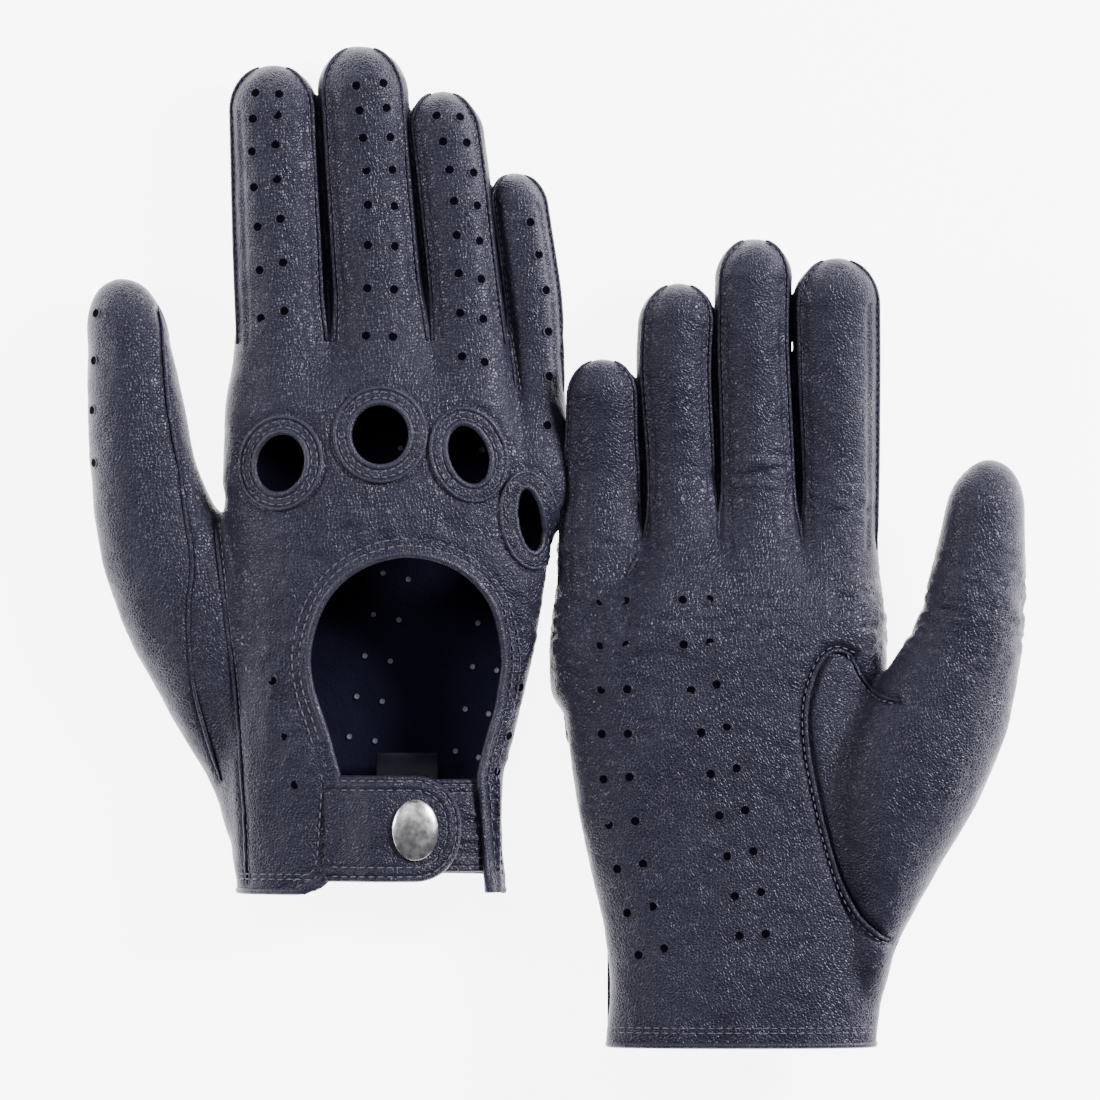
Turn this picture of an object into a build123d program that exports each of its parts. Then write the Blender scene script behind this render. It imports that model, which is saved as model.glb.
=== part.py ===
"""A pair of unlined leather driving gloves with snap straps, lying on a table.

Each glove is modelled in its own frame, in millimetres: the cuff's edge is at y = 0, the fingertips point
along +Y, the thumb is on the -X side, and the back of the hand faces +Z. Both are right-hand gloves. The
first lies palm down. The second is turned over about Y, so that it lies on its back. The row's origin is
on the table, under the middle of the pair.
"""

import os
from math import cos, pi, sin, sqrt

from build123d import *

os.makedirs("parts", exist_ok=True)

# Leather, clearances and trim
LEATHER = 1.2
BODY_GAP = 0.25  # each side of the plane where a finger hinges on the hand
BINDING_WIDTH = 3.0
SECTION_POINTS = 16
TOP_POWER, BOTTOM_POWER, TUBE_POWER = 2.3, 2.5, 2.1
TIP_STEPS = (0.0, 0.35, 0.6, 0.78, 0.9, 0.965, 0.993)  # share of the thumb tip's rounding
FINGER_ROOT = 6.0  # length of a finger's form behind the plane where it is cut off
FAR = 200.0
SIN_45 = sqrt(0.5)

# Snap fastener, line 24
CAP_RADIUS, CAP_HEIGHT, CAP_EDGE = 7.45, 2.6, 0.7
SHANK_RADIUS, SHANK_HOLE = 1.5, 1.6
SOCKET_RADIUS, SOCKET_CAVITY, SOCKET_HEIGHT, SOCKET_ROOF = 5.2, 3.2, 2.0, 0.6
STUD_FLANGE, STUD_FLANGE_HEIGHT, STUD_KNOB, STUD_HEIGHT = 2.6, 0.5, 2.2, 1.4
SNAP_SAG = 0.35  # how far the curved leather falls away across a flange
POST_FLANGE, POST_FLANGE_HEIGHT, POST_RADIUS, POST_HOLE = 4.8, 0.6, 1.2, 1.25

# Strap: its inner face stands this far above the under-tab's outer face
STRAP_LIFT = 2.75
STRAP_LINING, STRAP_LEATHER = 1.0, 1.2
STRAP_ROOT_X, STRAP_END_X = -8.0, 21.4
STRAP_LOW_Y, STRAP_HIGH_Y = 4.0, 28.2
STRAP_END_RADIUS, STRAP_PROFILE_Y = 11.4, 16.0
UNDER_TAB_X = (2.5, 25.8)
UNDER_TAB_Y = (4.4, 27.8)
SNAP_X, SNAP_Y = 11.8, 15.6

# Opening on the back of the hand and the slit below it: (x, y) points of its edge, clockwise from the slit
KEYHOLE = (
    (-7.4, 28.3), (-10.6, 39.6), (-13.9, 52.0), (-13.2, 65.0), (-5.0, 76.0), (9.0, 80.9),
    (22.5, 77.0), (30.6, 66.0), (31.4, 54.0), (28.6, 39.6), (25.8, 28.3),
)  # fmt: skip
SLIT_X = (-8.4, 25.8)
SLIT_FOOT = -9.0
PRISM_FOOT = 10.0  # height inside the hand where the openings' prisms start
LABEL_LOW, LABEL_SIZE = (1.0, 20.0), (15.0, 13.6, 0.4)

# Knuckle openings: centre x, centre y, half width, half length, lean in degrees
KNUCKLES = {
    "index": (-21.6, 103.2, 5.9, 7.2, -14.0),
    "middle": (2.3, 110.0, 7.0, 7.35, 0.0),
    "ring": (23.5, 105.2, 4.9, 7.4, 18.0),
    "little": (38.0, 89.6, 3.4, 7.7, 8.0),
}
# Fourchettes, the strips between the fingers: finger and the side of it that each one faces
FOURCHETTES = {
    "index_fourchette": ("index", 1),
    "middle_fourchette_outer": ("middle", -1),
    "middle_fourchette_inner": ("middle", 1),
    "ring_fourchette_outer": ("ring", -1),
    "ring_fourchette_inner": ("ring", 1),
    "little_fourchette": ("little", -1),
}
FOURCHETTE_HALF_HEIGHT, FOURCHETTE_TIP_GAP = 4.6, 11.0
FINGER_REST = 0.5  # least height of a finger above the table
FINGER_LIFT = 2.0  # of a turned-over glove's fingers above the table
FOURCHETTE_START = 0.45  # share of a finger's half width, from its middle line

GLOVES = {
    "glove1": {
        "place": (-44.4, -83.6),
        "turned_over": False,
        "base_y": 133.0,
        "knuckle_shift": 0.0,
        "skew": 0.2,
        "label_height": 1.3,
        # y, left x, right x, widest height, rise to the back, drop to the palm
        "hand": (
            (-1.0, -32.5, 32.4, 12.0, 15.0, 16.0),
            (13.0, -33.2, 31.4, 12.0, 14.5, 16.0),
            (30.0, -35.6, 32.4, 12.0, 14.5, 16.0),
            (52.0, -37.0, 37.8, 12.0, 15.0, 16.0),
            (76.0, -37.6, 42.0, 12.0, 15.5, 16.0),
            (106.0, -34.8, 44.4, 11.0, 15.0, 15.0),
            (135.0, -32.9, 45.2, 10.0, 12.0, 14.0),
        ),
        # base x, base radius, middle radius, tip radius, tip x, tip y
        "fingers": {
            "index": (-21.3, 11.0, 11.0, 10.2, -23.6, 199.4),
            "middle": (2.5, 11.6, 11.0, 10.2, -3.4, 204.0),
            "ring": (23.8, 9.0, 8.8, 7.9, 16.4, 193.0),
            "little": (39.5, 6.2, 6.2, 5.8, 34.4, 173.0),
        },
        "finger_rise": 0.0,
        # y, centre x, half width, centre height, half height
        "thumb": (
            (27.0, -33.5, 4.5, 9.2, 5.0), (45.0, -37.5, 12.5, 9.8, 8.6), (60.0, -42.0, 17.0, 10.2, 9.6),
            (75.0, -46.5, 18.2, 10.4, 10.0), (90.0, -52.3, 14.8, 10.4, 10.0), (104.0, -55.3, 12.7, 10.2, 9.8),
            (118.0, -56.8, 11.8, 9.8, 9.4), (133.0, -58.4, 9.9, 9.2, 8.8),
        ),
        "thumb_tip": (-60.4, 147.8),
        "thumb_base_y": 106.0,
    },
    "glove2": {
        "place": (43.4, -120.2),
        "turned_over": True,
        "base_y": 120.0,
        "knuckle_shift": -9.0,
        "skew": 0.0,
        "label_height": 2.9,
        "hand": (
            (-1.0, -33.2, 31.2, 10.0, 11.0, 9.6),
            (15.0, -34.8, 29.8, 10.0, 11.0, 9.6),
            (32.0, -36.8, 32.4, 11.0, 14.0, 10.4),
            (52.0, -37.4, 37.0, 12.0, 18.0, 11.4),
            (76.0, -37.6, 41.0, 12.0, 20.5, 11.6),
            (100.0, -34.4, 43.0, 12.0, 20.5, 11.4),
            (122.0, -33.6, 43.5, 12.0, 17.6, 11.0),
        ),
        "fingers": {
            "index": (-24.6, 9.1, 9.5, 9.8, -23.9, 189.0),
            "middle": (-5.2, 9.4, 9.2, 9.0, -4.4, 193.7),
            "ring": (13.6, 8.7, 8.8, 8.9, 14.4, 182.9),
            "little": (33.2, 10.3, 9.9, 8.4, 32.1, 164.6),
        },
        "finger_rise": 7.0,
        "thumb": (
            (27.0, -33.5, 4.5, 8.0, 5.0), (45.0, -36.5, 12.5, 6.4, 8.8), (60.0, -41.5, 18.6, 5.4, 10.2),
            (75.0, -45.0, 20.6, 5.0, 10.6), (88.0, -51.5, 16.0, 5.0, 10.4), (102.0, -56.2, 12.4, 5.0, 10.0),
            (116.0, -58.0, 11.2, 4.6, 9.4), (128.0, -59.3, 8.9, 4.0, 8.6),
        ),
        "thumb_tip": (-60.4, 140.4),
        "thumb_base_y": 102.0,
    },
}  # fmt: skip
FLIP_HEIGHT = 29.0  # height of a turned-over glove's own zero above the table


def half_space(axis, value, above):
    """A large block that fills one side of the plane where a coordinate has this value."""
    centre = [0.0, 0.0, 0.0]
    centre["xyz".index(axis)] = value + (FAR if above else -FAR)
    return Pos(*centre) * Box(2 * FAR, 2 * FAR, 2 * FAR)


def slab(axis, low, high):
    """A large block between two values of one coordinate."""
    size, centre = [2 * FAR] * 3, [0.0, 0.0, 0.0]
    size["xyz".index(axis)] = high - low
    centre["xyz".index(axis)] = (low + high) / 2
    return Pos(*centre) * Box(*size)


def power(value, exponent):
    """A signed power, for the outline of a superellipse."""
    return (1 if value >= 0 else -1) * abs(value) ** exponent


def loft_rings(rings):
    """A solid through closed rings of points."""
    wires = [Wire([Edge.make_spline([Vector(*p) for p in ring], periodic=True)]) for ring in rings]
    return Solid.make_loft(wires)


def hand_ring(station, skew, inset):
    """One cross-section of the hand: flat towards the palm, domed towards the back."""
    y, left, right, middle, rise, drop = station
    centre, half = (left + right) / 2, (right - left) / 2 - inset
    ring = []
    for i in range(SECTION_POINTS):
        angle = 2 * pi * i / SECTION_POINTS - pi / 2
        c, s = cos(angle), sin(angle)
        exponent = 2 / (TOP_POWER if s >= 0 else BOTTOM_POWER)
        across = power(c, exponent)
        up = power(s, exponent)
        height = (rise - inset) * up * (1 - skew * across) if up >= 0 else (drop - inset) * up
        ring.append((centre + half * across, y, middle + height))
    return ring


def hand_form(glove, inset):
    """The space that a hand fills, less an inset, cut flat where the glove rests on the table."""
    form = loft_rings([hand_ring(s, glove["skew"], inset) for s in glove["hand"]])
    if glove["turned_over"]:
        return form & half_space("z", FLIP_HEIGHT - inset, False)
    return form & half_space("z", inset, True)


def tube_ring(y, x, half_width, z, half_height):
    """One cross-section of the thumb."""
    ring = []
    for i in range(SECTION_POINTS):
        angle = 2 * pi * i / SECTION_POINTS + pi
        across = power(cos(angle), 2 / TUBE_POWER)
        up = power(sin(angle), 2 / TUBE_POWER)
        ring.append((x + half_width * across, y, z + half_height * up))
    return ring


def thumb_form(glove, inset):
    """The thumb's solid form: lofted through its stations and rounded off at its tip."""
    stations = glove["thumb"]
    tip_x, tip_y, tip_z = *glove["thumb_tip"], stations[-1][3]
    rings = [tube_ring(y, x, w - inset, z, h - inset) for y, x, w, z, h in stations[:-1]]
    y0, x0, w0, z0, h0 = stations[-1]
    for share in TIP_STEPS:
        scale = sqrt(1 - share * share)
        y = y0 + (tip_y - inset - y0) * share
        x, z = x0 + (tip_x - x0) * share, z0 + (tip_z - z0) * share
        rings.append(tube_ring(y, x, max((w0 - inset) * scale, 0.5), z, max((h0 - inset) * scale, 0.5)))
    return loft_rings(rings)


def finger_axis(glove, name):
    """A finger's place: from the middle of its root, along its length; and the length from root to tip."""
    base_x, base_radius, _, tip_radius, tip_x, tip_y = glove["fingers"][name]
    base_y = glove["base_y"]
    if glove["turned_over"]:
        base_z = FLIP_HEIGHT - FINGER_LIFT - base_radius
        tip_z = FLIP_HEIGHT - FINGER_LIFT - tip_radius - glove["finger_rise"]
    else:
        base_z, tip_z = base_radius + FINGER_REST, tip_radius + FINGER_REST
    base, tip = Vector(base_x, base_y, base_z), Vector(tip_x, tip_y, tip_z)
    along = tip - base
    root = base - along.normalized() * FINGER_ROOT
    across = Vector(along.Y, -along.X, 0)
    frame = Plane(origin=root, x_dir=across, z_dir=across.cross(along))
    return frame, along.length + FINGER_ROOT


def finger_form(glove, name, length, inset):
    """A finger's solid form in its own frame: a body of revolution about +Y with a rounded tip."""
    _, base_radius, middle_radius, tip_radius, _, _ = glove["fingers"][name]
    base, middle, tip = (r - inset for r in (base_radius, middle_radius, tip_radius))
    shoulder = length - tip_radius
    side = Spline((base, 0), (middle, shoulder * 0.5), (tip, shoulder))
    end = Spline((tip, shoulder), (tip * SIN_45, length - inset - tip * (1 - SIN_45)), (0, length - inset),
                 tangents=((0, 1), (-1, 0)))
    outline = make_face(side + end + Polyline((0, length - inset), (0, 0), (base, 0)))
    return Rot(0, 90, 0) * revolve(outline, Axis.Y)


def finger_parts(glove, name):
    """A finger's cover and its fourchettes, cut from one shell."""
    frame, length = finger_axis(glove, name)
    base_radius = glove["fingers"][name][1]
    shell = finger_form(glove, name, length, 0) - finger_form(glove, name, length, LEATHER)
    cut = half_space("y", glove["base_y"] + BODY_GAP, True)
    strips = {}
    cover = shell
    for strip, (finger, side) in FOURCHETTES.items():
        if finger != name:
            continue
        inner_x = side * base_radius * FOURCHETTE_START
        end_y = length - FOURCHETTE_TIP_GAP
        zone = Pos(inner_x + side * FAR / 2, end_y / 2, 0) * Box(FAR, end_y + 2, 2 * FOURCHETTE_HALF_HEIGHT)
        strips[strip] = shell & zone
        cover = cover - zone
    pieces = {f"{name}_finger": cover, **strips}
    return {piece: (frame.location * solid) & cut for piece, solid in pieces.items()}


def knuckle_prism(glove, name, grow):
    """An upright oval prism over one knuckle."""
    x, y, half_width, half_length, lean = KNUCKLES[name]
    oval = Ellipse(half_width + grow, half_length + grow)
    return Pos(x, y + glove["knuckle_shift"], PRISM_FOOT) * Rot(0, 0, lean) * extrude(oval, FAR / 4)


def keyhole_prism(grow):
    """An upright prism over the opening on the back of the hand, with the slit that runs to the cuff."""
    points = []
    last = len(KEYHOLE) - 1
    for i, (x, y) in enumerate(KEYHOLE):
        (x0, y0), (x1, y1) = KEYHOLE[max(i - 1, 0)], KEYHOLE[min(i + 1, last)]
        outward = Vector(y0 - y1, x1 - x0).normalized()
        points.append((x + grow * outward.X, y + grow * outward.Y))
    left, right = SLIT_X[0] - grow, SLIT_X[1] + grow
    edges = Spline(*points) + Polyline(points[-1], (right, SLIT_FOOT), (left, SLIT_FOOT), points[0])
    return Pos(0, 0, PRISM_FOOT) * extrude(make_face(edges), FAR / 4)


def top_height(glove, x):
    """Height of the back of the hand above one point across the strap."""
    stations = glove["hand"]
    for low, high in zip(stations, stations[1:]):
        if low[0] <= STRAP_PROFILE_Y <= high[0]:
            share = (STRAP_PROFILE_Y - low[0]) / (high[0] - low[0])
            _, left, right, middle, rise, _ = [a + (b - a) * share for a, b in zip(low, high)]
    across = (x - (left + right) / 2) / ((right - left) / 2)
    up = (1 - abs(across) ** TOP_POWER) ** (1 / TOP_POWER)
    return middle + rise * up * (1 - glove["skew"] * across)


def profile_points(glove, low_x, high_x, lift, count=7):
    """Points (x, z) along the back of the hand at the strap, moved out from it by lift."""
    points = []
    for i in range(count):
        x = low_x + (high_x - low_x) * i / (count - 1)
        slope = (top_height(glove, x + 0.1) - top_height(glove, x - 0.1)) / 0.2
        length = sqrt(1 + slope * slope)
        points.append((x - lift * slope / length, top_height(glove, x) + lift / length))
    return points


def band(glove, x_range, y_range, low, high):
    """A strip of leather that follows the back of the wrist, between two heights above it."""
    inner = profile_points(glove, *x_range, low)
    outer = profile_points(glove, *x_range, high)
    edges = [Spline(*inner), Line(inner[-1], outer[-1]), Spline(*outer[::-1]), Line(outer[0], inner[0])]
    profile = Plane.XZ * make_face(edges)
    return Pos(0, y_range[1], 0) * extrude(profile, y_range[1] - y_range[0])


def strap_outline():
    """An upright prism with the strap's plan: square at its root and round at its end."""
    middle = (STRAP_LOW_Y + STRAP_HIGH_Y) / 2
    half = (STRAP_HIGH_Y - STRAP_LOW_Y) / 2
    straight = Pos((STRAP_END_X + STRAP_ROOT_X) / 2 - STRAP_END_RADIUS / 2, middle) * Rectangle(
        STRAP_END_X - STRAP_ROOT_X - STRAP_END_RADIUS, 2 * half
    )
    nose = Pos(STRAP_END_X - STRAP_END_RADIUS, middle) * Ellipse(STRAP_END_RADIUS, half)
    return extrude(straight + nose, FAR / 2)


def disc(radius, low, high):
    """A cylinder about the snap's axis, between two heights above the back of the wrist."""
    return Pos(0, 0, (low + high) / 2) * Cylinder(radius, high - low)


def snap_parts(glove):
    """The four pieces of the snap fastener, and the holes that they need in the leather."""
    slope = (top_height(glove, SNAP_X + 0.1) - top_height(glove, SNAP_X - 0.1)) / 0.2
    tilt = Plane(
        origin=(SNAP_X, SNAP_Y, top_height(glove, SNAP_X)), x_dir=(1, 0, slope), z_dir=(-slope, 0, 1)
    ).location
    strap_low = STRAP_LIFT
    strap_high = STRAP_LIFT + STRAP_LINING + STRAP_LEATHER
    sphere = (CAP_RADIUS**2 + (CAP_HEIGHT - CAP_EDGE) ** 2) / (2 * (CAP_HEIGHT - CAP_EDGE))
    dome = Pos(0, 0, strap_high + CAP_HEIGHT - sphere) * Sphere(sphere)
    cap = (dome & disc(CAP_RADIUS, strap_high + 0.05, strap_high + CAP_HEIGHT)) + disc(
        SHANK_RADIUS, strap_low - SNAP_SAG - SOCKET_ROOF, strap_high + 0.5
    )
    socket_high = strap_low - SNAP_SAG
    socket_low = socket_high - SOCKET_HEIGHT
    socket = (
        disc(SOCKET_RADIUS, socket_low, socket_high)
        - disc(SOCKET_CAVITY, socket_low, socket_high - SOCKET_ROOF)
        - disc(SHANK_HOLE, socket_low, strap_low)
    )
    stud = disc(STUD_FLANGE, 0.02, STUD_FLANGE_HEIGHT) + disc(STUD_KNOB, 0.02, STUD_HEIGHT)
    stud = stud - disc(POST_HOLE, -0.1, STUD_HEIGHT - 0.3)
    flange_high = -LEATHER - SNAP_SAG
    post = disc(POST_FLANGE, flange_high - POST_FLANGE_HEIGHT, flange_high) + disc(
        POST_RADIUS, flange_high, STUD_HEIGHT - 0.35
    )
    holes = {
        "strap": tilt * disc(SHANK_HOLE, 0, strap_high + 1),
        "tab": tilt * disc(POST_HOLE, -LEATHER - 1, 1),
    }
    parts = {"snap_cap": cap, "snap_socket": socket, "snap_stud": stud, "snap_post": post}
    return {name: tilt * part for name, part in parts.items()}, holes


def wrist_parts(glove):
    """The strap, its lining, the under-tab, the snap and the size label."""
    parts, holes = snap_parts(glove)
    outline = strap_outline()
    span = (STRAP_ROOT_X - 4, STRAP_END_X + 4)
    rows = (0.0, STRAP_HIGH_Y + 4)
    top_of_lining = STRAP_LIFT + STRAP_LINING
    lining = band(glove, span, rows, STRAP_LIFT, top_of_lining)
    leather = band(glove, span, rows, top_of_lining, top_of_lining + STRAP_LEATHER)
    parts["strap_lining"] = (lining & outline) - holes["strap"]
    parts["strap"] = (leather & outline) - holes["strap"]
    parts["under_tab"] = band(glove, UNDER_TAB_X, UNDER_TAB_Y, -LEATHER, 0) - holes["tab"]
    label = Box(*LABEL_SIZE, align=(Align.MIN, Align.MIN, Align.MIN))
    parts["size_label"] = Pos(*LABEL_LOW, glove["label_height"]) * label
    return parts


def hand_parts(glove):
    """The panels of the hand, the bindings of its openings, and the thumb that is set into it."""
    outer, inner = hand_form(glove, 0), hand_form(glove, LEATHER)
    base_y = glove["base_y"]
    thumb_outer, thumb_inner = thumb_form(glove, 0), thumb_form(glove, LEATHER)
    shell = (outer - inner) & slab("y", 0, base_y - BODY_GAP)
    shell = shell - thumb_outer
    thumb_shell = thumb_outer - thumb_inner
    thumb_y = glove["thumb_base_y"]
    middle = glove["hand"][3][3]
    gusset_zone = Pos(-34.5, 92.0, 6) * Rot(0, 0, 45) * Box(9, 9, 40)
    parts = {
        "thumb_base": (thumb_shell & half_space("y", thumb_y - BODY_GAP, False)) - outer,
        "thumb_tip": thumb_shell & half_space("y", thumb_y + BODY_GAP, True),
    }
    hem = slab("y", -1, BINDING_WIDTH)
    keyhole, keyhole_edge = keyhole_prism(0), keyhole_prism(BINDING_WIDTH)
    shell = shell - keyhole
    parts["cuff_binding"] = shell & hem
    shell = shell - hem
    back, palm = shell & half_space("z", middle, True), shell & half_space("z", middle, False)
    for name in KNUCKLES:
        hole, edge = knuckle_prism(glove, name, 0), knuckle_prism(glove, name, BINDING_WIDTH)
        parts[f"{name}_knuckle_binding"] = (back & edge) - hole
        back = back - edge
    parts["opening_binding"] = back & keyhole_edge
    parts["back_panel"] = back - keyhole_edge
    parts["thumb_gusset"] = palm & gusset_zone
    parts["palm_panel"] = palm - gusset_zone
    return parts


def glove_parts(glove):
    """Every node of one glove, in the glove's own frame."""
    parts = {**hand_parts(glove), **wrist_parts(glove)}
    for name in glove["fingers"]:
        parts.update(finger_parts(glove, name))
    return parts


def placed(glove, part):
    """Moves a part from its glove's frame to the row's."""
    x, y = glove["place"]
    if glove["turned_over"]:
        return Pos(x, y, FLIP_HEIGHT) * Rot(0, 180, 0) * part
    return Pos(x, y, 0) * part


def main_solid(part):
    """The part's largest solid, without the slivers that a cut can leave."""
    return part.solids().sort_by(SortBy.VOLUME)[-1]


def main():
    for glove_name, glove in GLOVES.items():
        for name, part in glove_parts(glove).items():
            export_step(placed(glove, main_solid(part)), f"parts/{glove_name}_{name}.step")


if __name__ == "__main__":
    main()
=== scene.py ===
"""Looks for two leather driving gloves, one palm down and one palm up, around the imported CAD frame.

Each glove is worked out in its own design frame in millimetres, as in the CAD: cuff at y = 0, fingertips
along +Y, thumb on the -X side, back of the hand towards +Z. A signed form of the hand, fingers and thumb
is meshed, its leather is given seams and creases, and the openings are cut through it.
"""

from math import cos, pi, radians, sin

import bpy
import numpy as np
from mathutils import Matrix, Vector, noise


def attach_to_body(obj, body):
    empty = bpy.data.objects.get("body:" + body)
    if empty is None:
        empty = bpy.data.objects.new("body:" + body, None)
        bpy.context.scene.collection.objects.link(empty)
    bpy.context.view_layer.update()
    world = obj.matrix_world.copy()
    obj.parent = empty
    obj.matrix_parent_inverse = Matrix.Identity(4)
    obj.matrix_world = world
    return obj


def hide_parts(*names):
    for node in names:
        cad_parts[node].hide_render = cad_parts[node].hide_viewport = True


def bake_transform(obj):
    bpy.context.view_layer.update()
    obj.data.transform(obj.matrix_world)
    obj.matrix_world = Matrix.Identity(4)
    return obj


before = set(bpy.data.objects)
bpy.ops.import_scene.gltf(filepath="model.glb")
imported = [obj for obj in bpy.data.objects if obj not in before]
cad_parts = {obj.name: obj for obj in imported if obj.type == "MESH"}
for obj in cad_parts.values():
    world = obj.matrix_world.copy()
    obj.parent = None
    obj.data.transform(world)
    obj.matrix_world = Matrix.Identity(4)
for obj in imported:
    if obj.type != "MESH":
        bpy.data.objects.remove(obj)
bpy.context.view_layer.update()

MM = 0.001
VOXEL = 0.7
LEATHER = 1.2
FLIP_HEIGHT = 29.0
TABLE_Y = np.arange(-20.0, 225.0, 0.5)
SEAM_RATIO = 0.84  # where a finger's seams run, as a share of its half width
OUTER_RATIO = 0.94  # the same for the outer sides of the hand
TIP_TURN = 0.39 * pi  # how far round a fingertip its seams run
FINGERS = ("index", "middle", "ring", "little")

GLOVES = {
    "glove1": {
        "place": (-44.4, -83.6),
        "turned": False,
        "bend_y": 133.5,
        "thumb_bend_y": 100.0,
        "knuckle_shift": 0.0,
        "little_shift": 0.0,
        "skew": 0.16,
        "hand": (
            (-10, -31.5, 32.2, 12, 11.5, 12.6), (0, -32.2, 32.2, 12, 11.8, 12.6),
            (13, -33.6, 31.4, 12, 12.0, 12.8), (28, -35.6, 31.6, 12, 12.5, 13),
            (50, -35.0, 37.4, 12, 13.5, 13), (72, -35.6, 41.6, 11.8, 14.3, 13),
            (92, -35.4, 43.9, 11, 14.6, 12.5), (112, -33.8, 44.6, 10.5, 13.4, 12),
            (134, -32.8, 45.0, 9.6, 10.6, 10.5),
        ),
        "hand_end": (112.0, 137.0),
        "fingers": {
            "index": ((100, -21.3, 10.8), (133, -21.3, 11.3), (154, -22.2, 11.3), (180, -23.3, 10.8)),
            "middle": ((100, 3.0, 11), (133, 2.5, 11.9), (154, 0.7, 11.4), (180, -1.3, 11.0)),
            "ring": ((100, 27, 9), (133, 23.9, 9.4), (154, 21.4, 9.2), (172, 19.5, 9.2)),
            "little": ((96, 41, 5.4), (133, 39.3, 6.9), (143, 38.7, 7.3), (157, 36.7, 7.0)),
        },
        "tips": {
            "index": (-23.8, 199.4), "middle": (-2.8, 204.0), "ring": (16.6, 193.0), "little": (34.2, 173.2),
        },
        "heights": {"index": (9.8, 8.0), "middle": (10.0, 8.2), "ring": (9.4, 7.8), "little": (7.4, 6.6)},
        "curl": 0.0,
        "thumb": (
            (20, -32, 3, 8.4, 5), (34, -35.4, 8.0, 9.4, 7.0), (46, -37.7, 12.5, 10.0, 8.4),
            (60, -41.6, 16.6, 10.4, 9.5), (75, -46.5, 17.6, 10.6, 9.9), (90, -52.3, 14.6, 10.4, 9.9),
            (104, -55.3, 12.7, 10.2, 9.7), (118, -56.9, 11.8, 9.8, 9.3), (133, -58.6, 9.8, 9.2, 8.7),
        ),
        "thumb_tip": (-60.4, 147.8),
    },
    "glove2": {
        "place": (43.4, -120.2),
        "turned": True,
        "bend_y": 120.5,
        "thumb_bend_y": 96.0,
        "knuckle_shift": -9.0,
        "little_shift": -4.0,
        "skew": 0.0,
        "hand": (
            (-10, -33.2, 31.2, 10, 9.6, 9.4), (0, -33.2, 31.2, 10, 9.8, 9.4), (15, -34.8, 30.0, 10, 10, 9.6),
            (30, -36.4, 32.2, 11, 13, 10.4), (50, -36.0, 36.8, 12, 16.4, 11.2),
            (72, -35.4, 40.4, 12, 18.0, 11.6), (92, -34.6, 42.4, 12, 18.0, 11.6),
            (108, -33.6, 43.4, 12.4, 16.6, 11.2), (121, -33.6, 43.4, 13.4, 14, 10.4),
        ),
        "hand_end": (98.0, 124.0),
        "fingers": {
            "index": ((90, -24.4, 9.0), (120, -24.7, 9.4), (138, -24.8, 9.7), (166, -24.1, 10.5)),
            "middle": ((90, -6, 9.5), (120, -5.7, 9.9), (142, -5.1, 9.6), (170, -3.8, 9.3)),
            "ring": ((90, 12, 8.6), (120, 12.9, 8.9), (142, 13.3, 8.9), (162, 15.0, 9.4)),
            "little": ((86, 32.2, 10.2), (120, 32.3, 10.6), (133, 32.0, 10.3), (147, 32.0, 8.8)),
        },
        "tips": {
            "index": (-23.8, 189.0), "middle": (-4.4, 193.8), "ring": (13.7, 183.0), "little": (31.9, 164.8),
        },
        "heights": {"index": (9.6, 8.2), "middle": (9.8, 8.4), "ring": (9.2, 8.0), "little": (8.6, 7.2)},
        "curl": 8.0,
        "thumb": (
            (20, -32.5, 3, 8, 5), (34, -35.0, 8.5, 7.2, 7.2), (46, -36.9, 13.0, 6.4, 8.8),
            (60, -41.2, 17.6, 5.4, 10.2), (75, -45.6, 19.0, 5.0, 10.6), (88, -51.5, 16.0, 5.0, 10.4),
            (102, -56.2, 12.4, 5.0, 10.0), (116, -58.0, 11.2, 4.6, 9.4), (128, -59.3, 9.4, 4.0, 8.6),
        ),
        "thumb_tip": (-60.4, 140.6),
    },
}  # fmt: skip

KNUCKLES = {
    "index": (-21.6, 103.2, 5.9, 7.2, -14.0),
    "middle": (2.3, 110.0, 7.0, 7.35, 0.0),
    "ring": (23.5, 105.2, 4.9, 7.4, 18.0),
    "little": (38.2, 89.6, 2.9, 7.7, 8.0),
}
KEYHOLE = (
    (-7.4, 28.3), (-10.6, 39.6), (-13.9, 50.0), (-14.4, 59.0), (-10.6, 70.2), (-2.6, 77.8), (8.8, 80.9),
    (20.4, 78.0), (28.4, 70.0), (31.6, 58.0), (30.6, 47.0), (27.6, 36.0), (25.8, 28.3),
)  # fmt: skip
SLIT_LEFT = ((-22.0, -4.0), (-15.0, 0.2), (-10.6, 2.8), (-8.8, 7.6), (-8.0, 17.0), (-7.4, 28.3))
SLIT_RIGHT = (28.8, -14.0)
SNAP = (10.4, 15.4)
CAP_OVAL = 0.76
STRAP = {"root": -11.0, "end": 21.8, "low": 2.9, "high": 28.4, "nose": 11.6}
STRAP_POWER = 2.2  # of the strap's rounded end
TAB = (5.0, 27.4)

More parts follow.
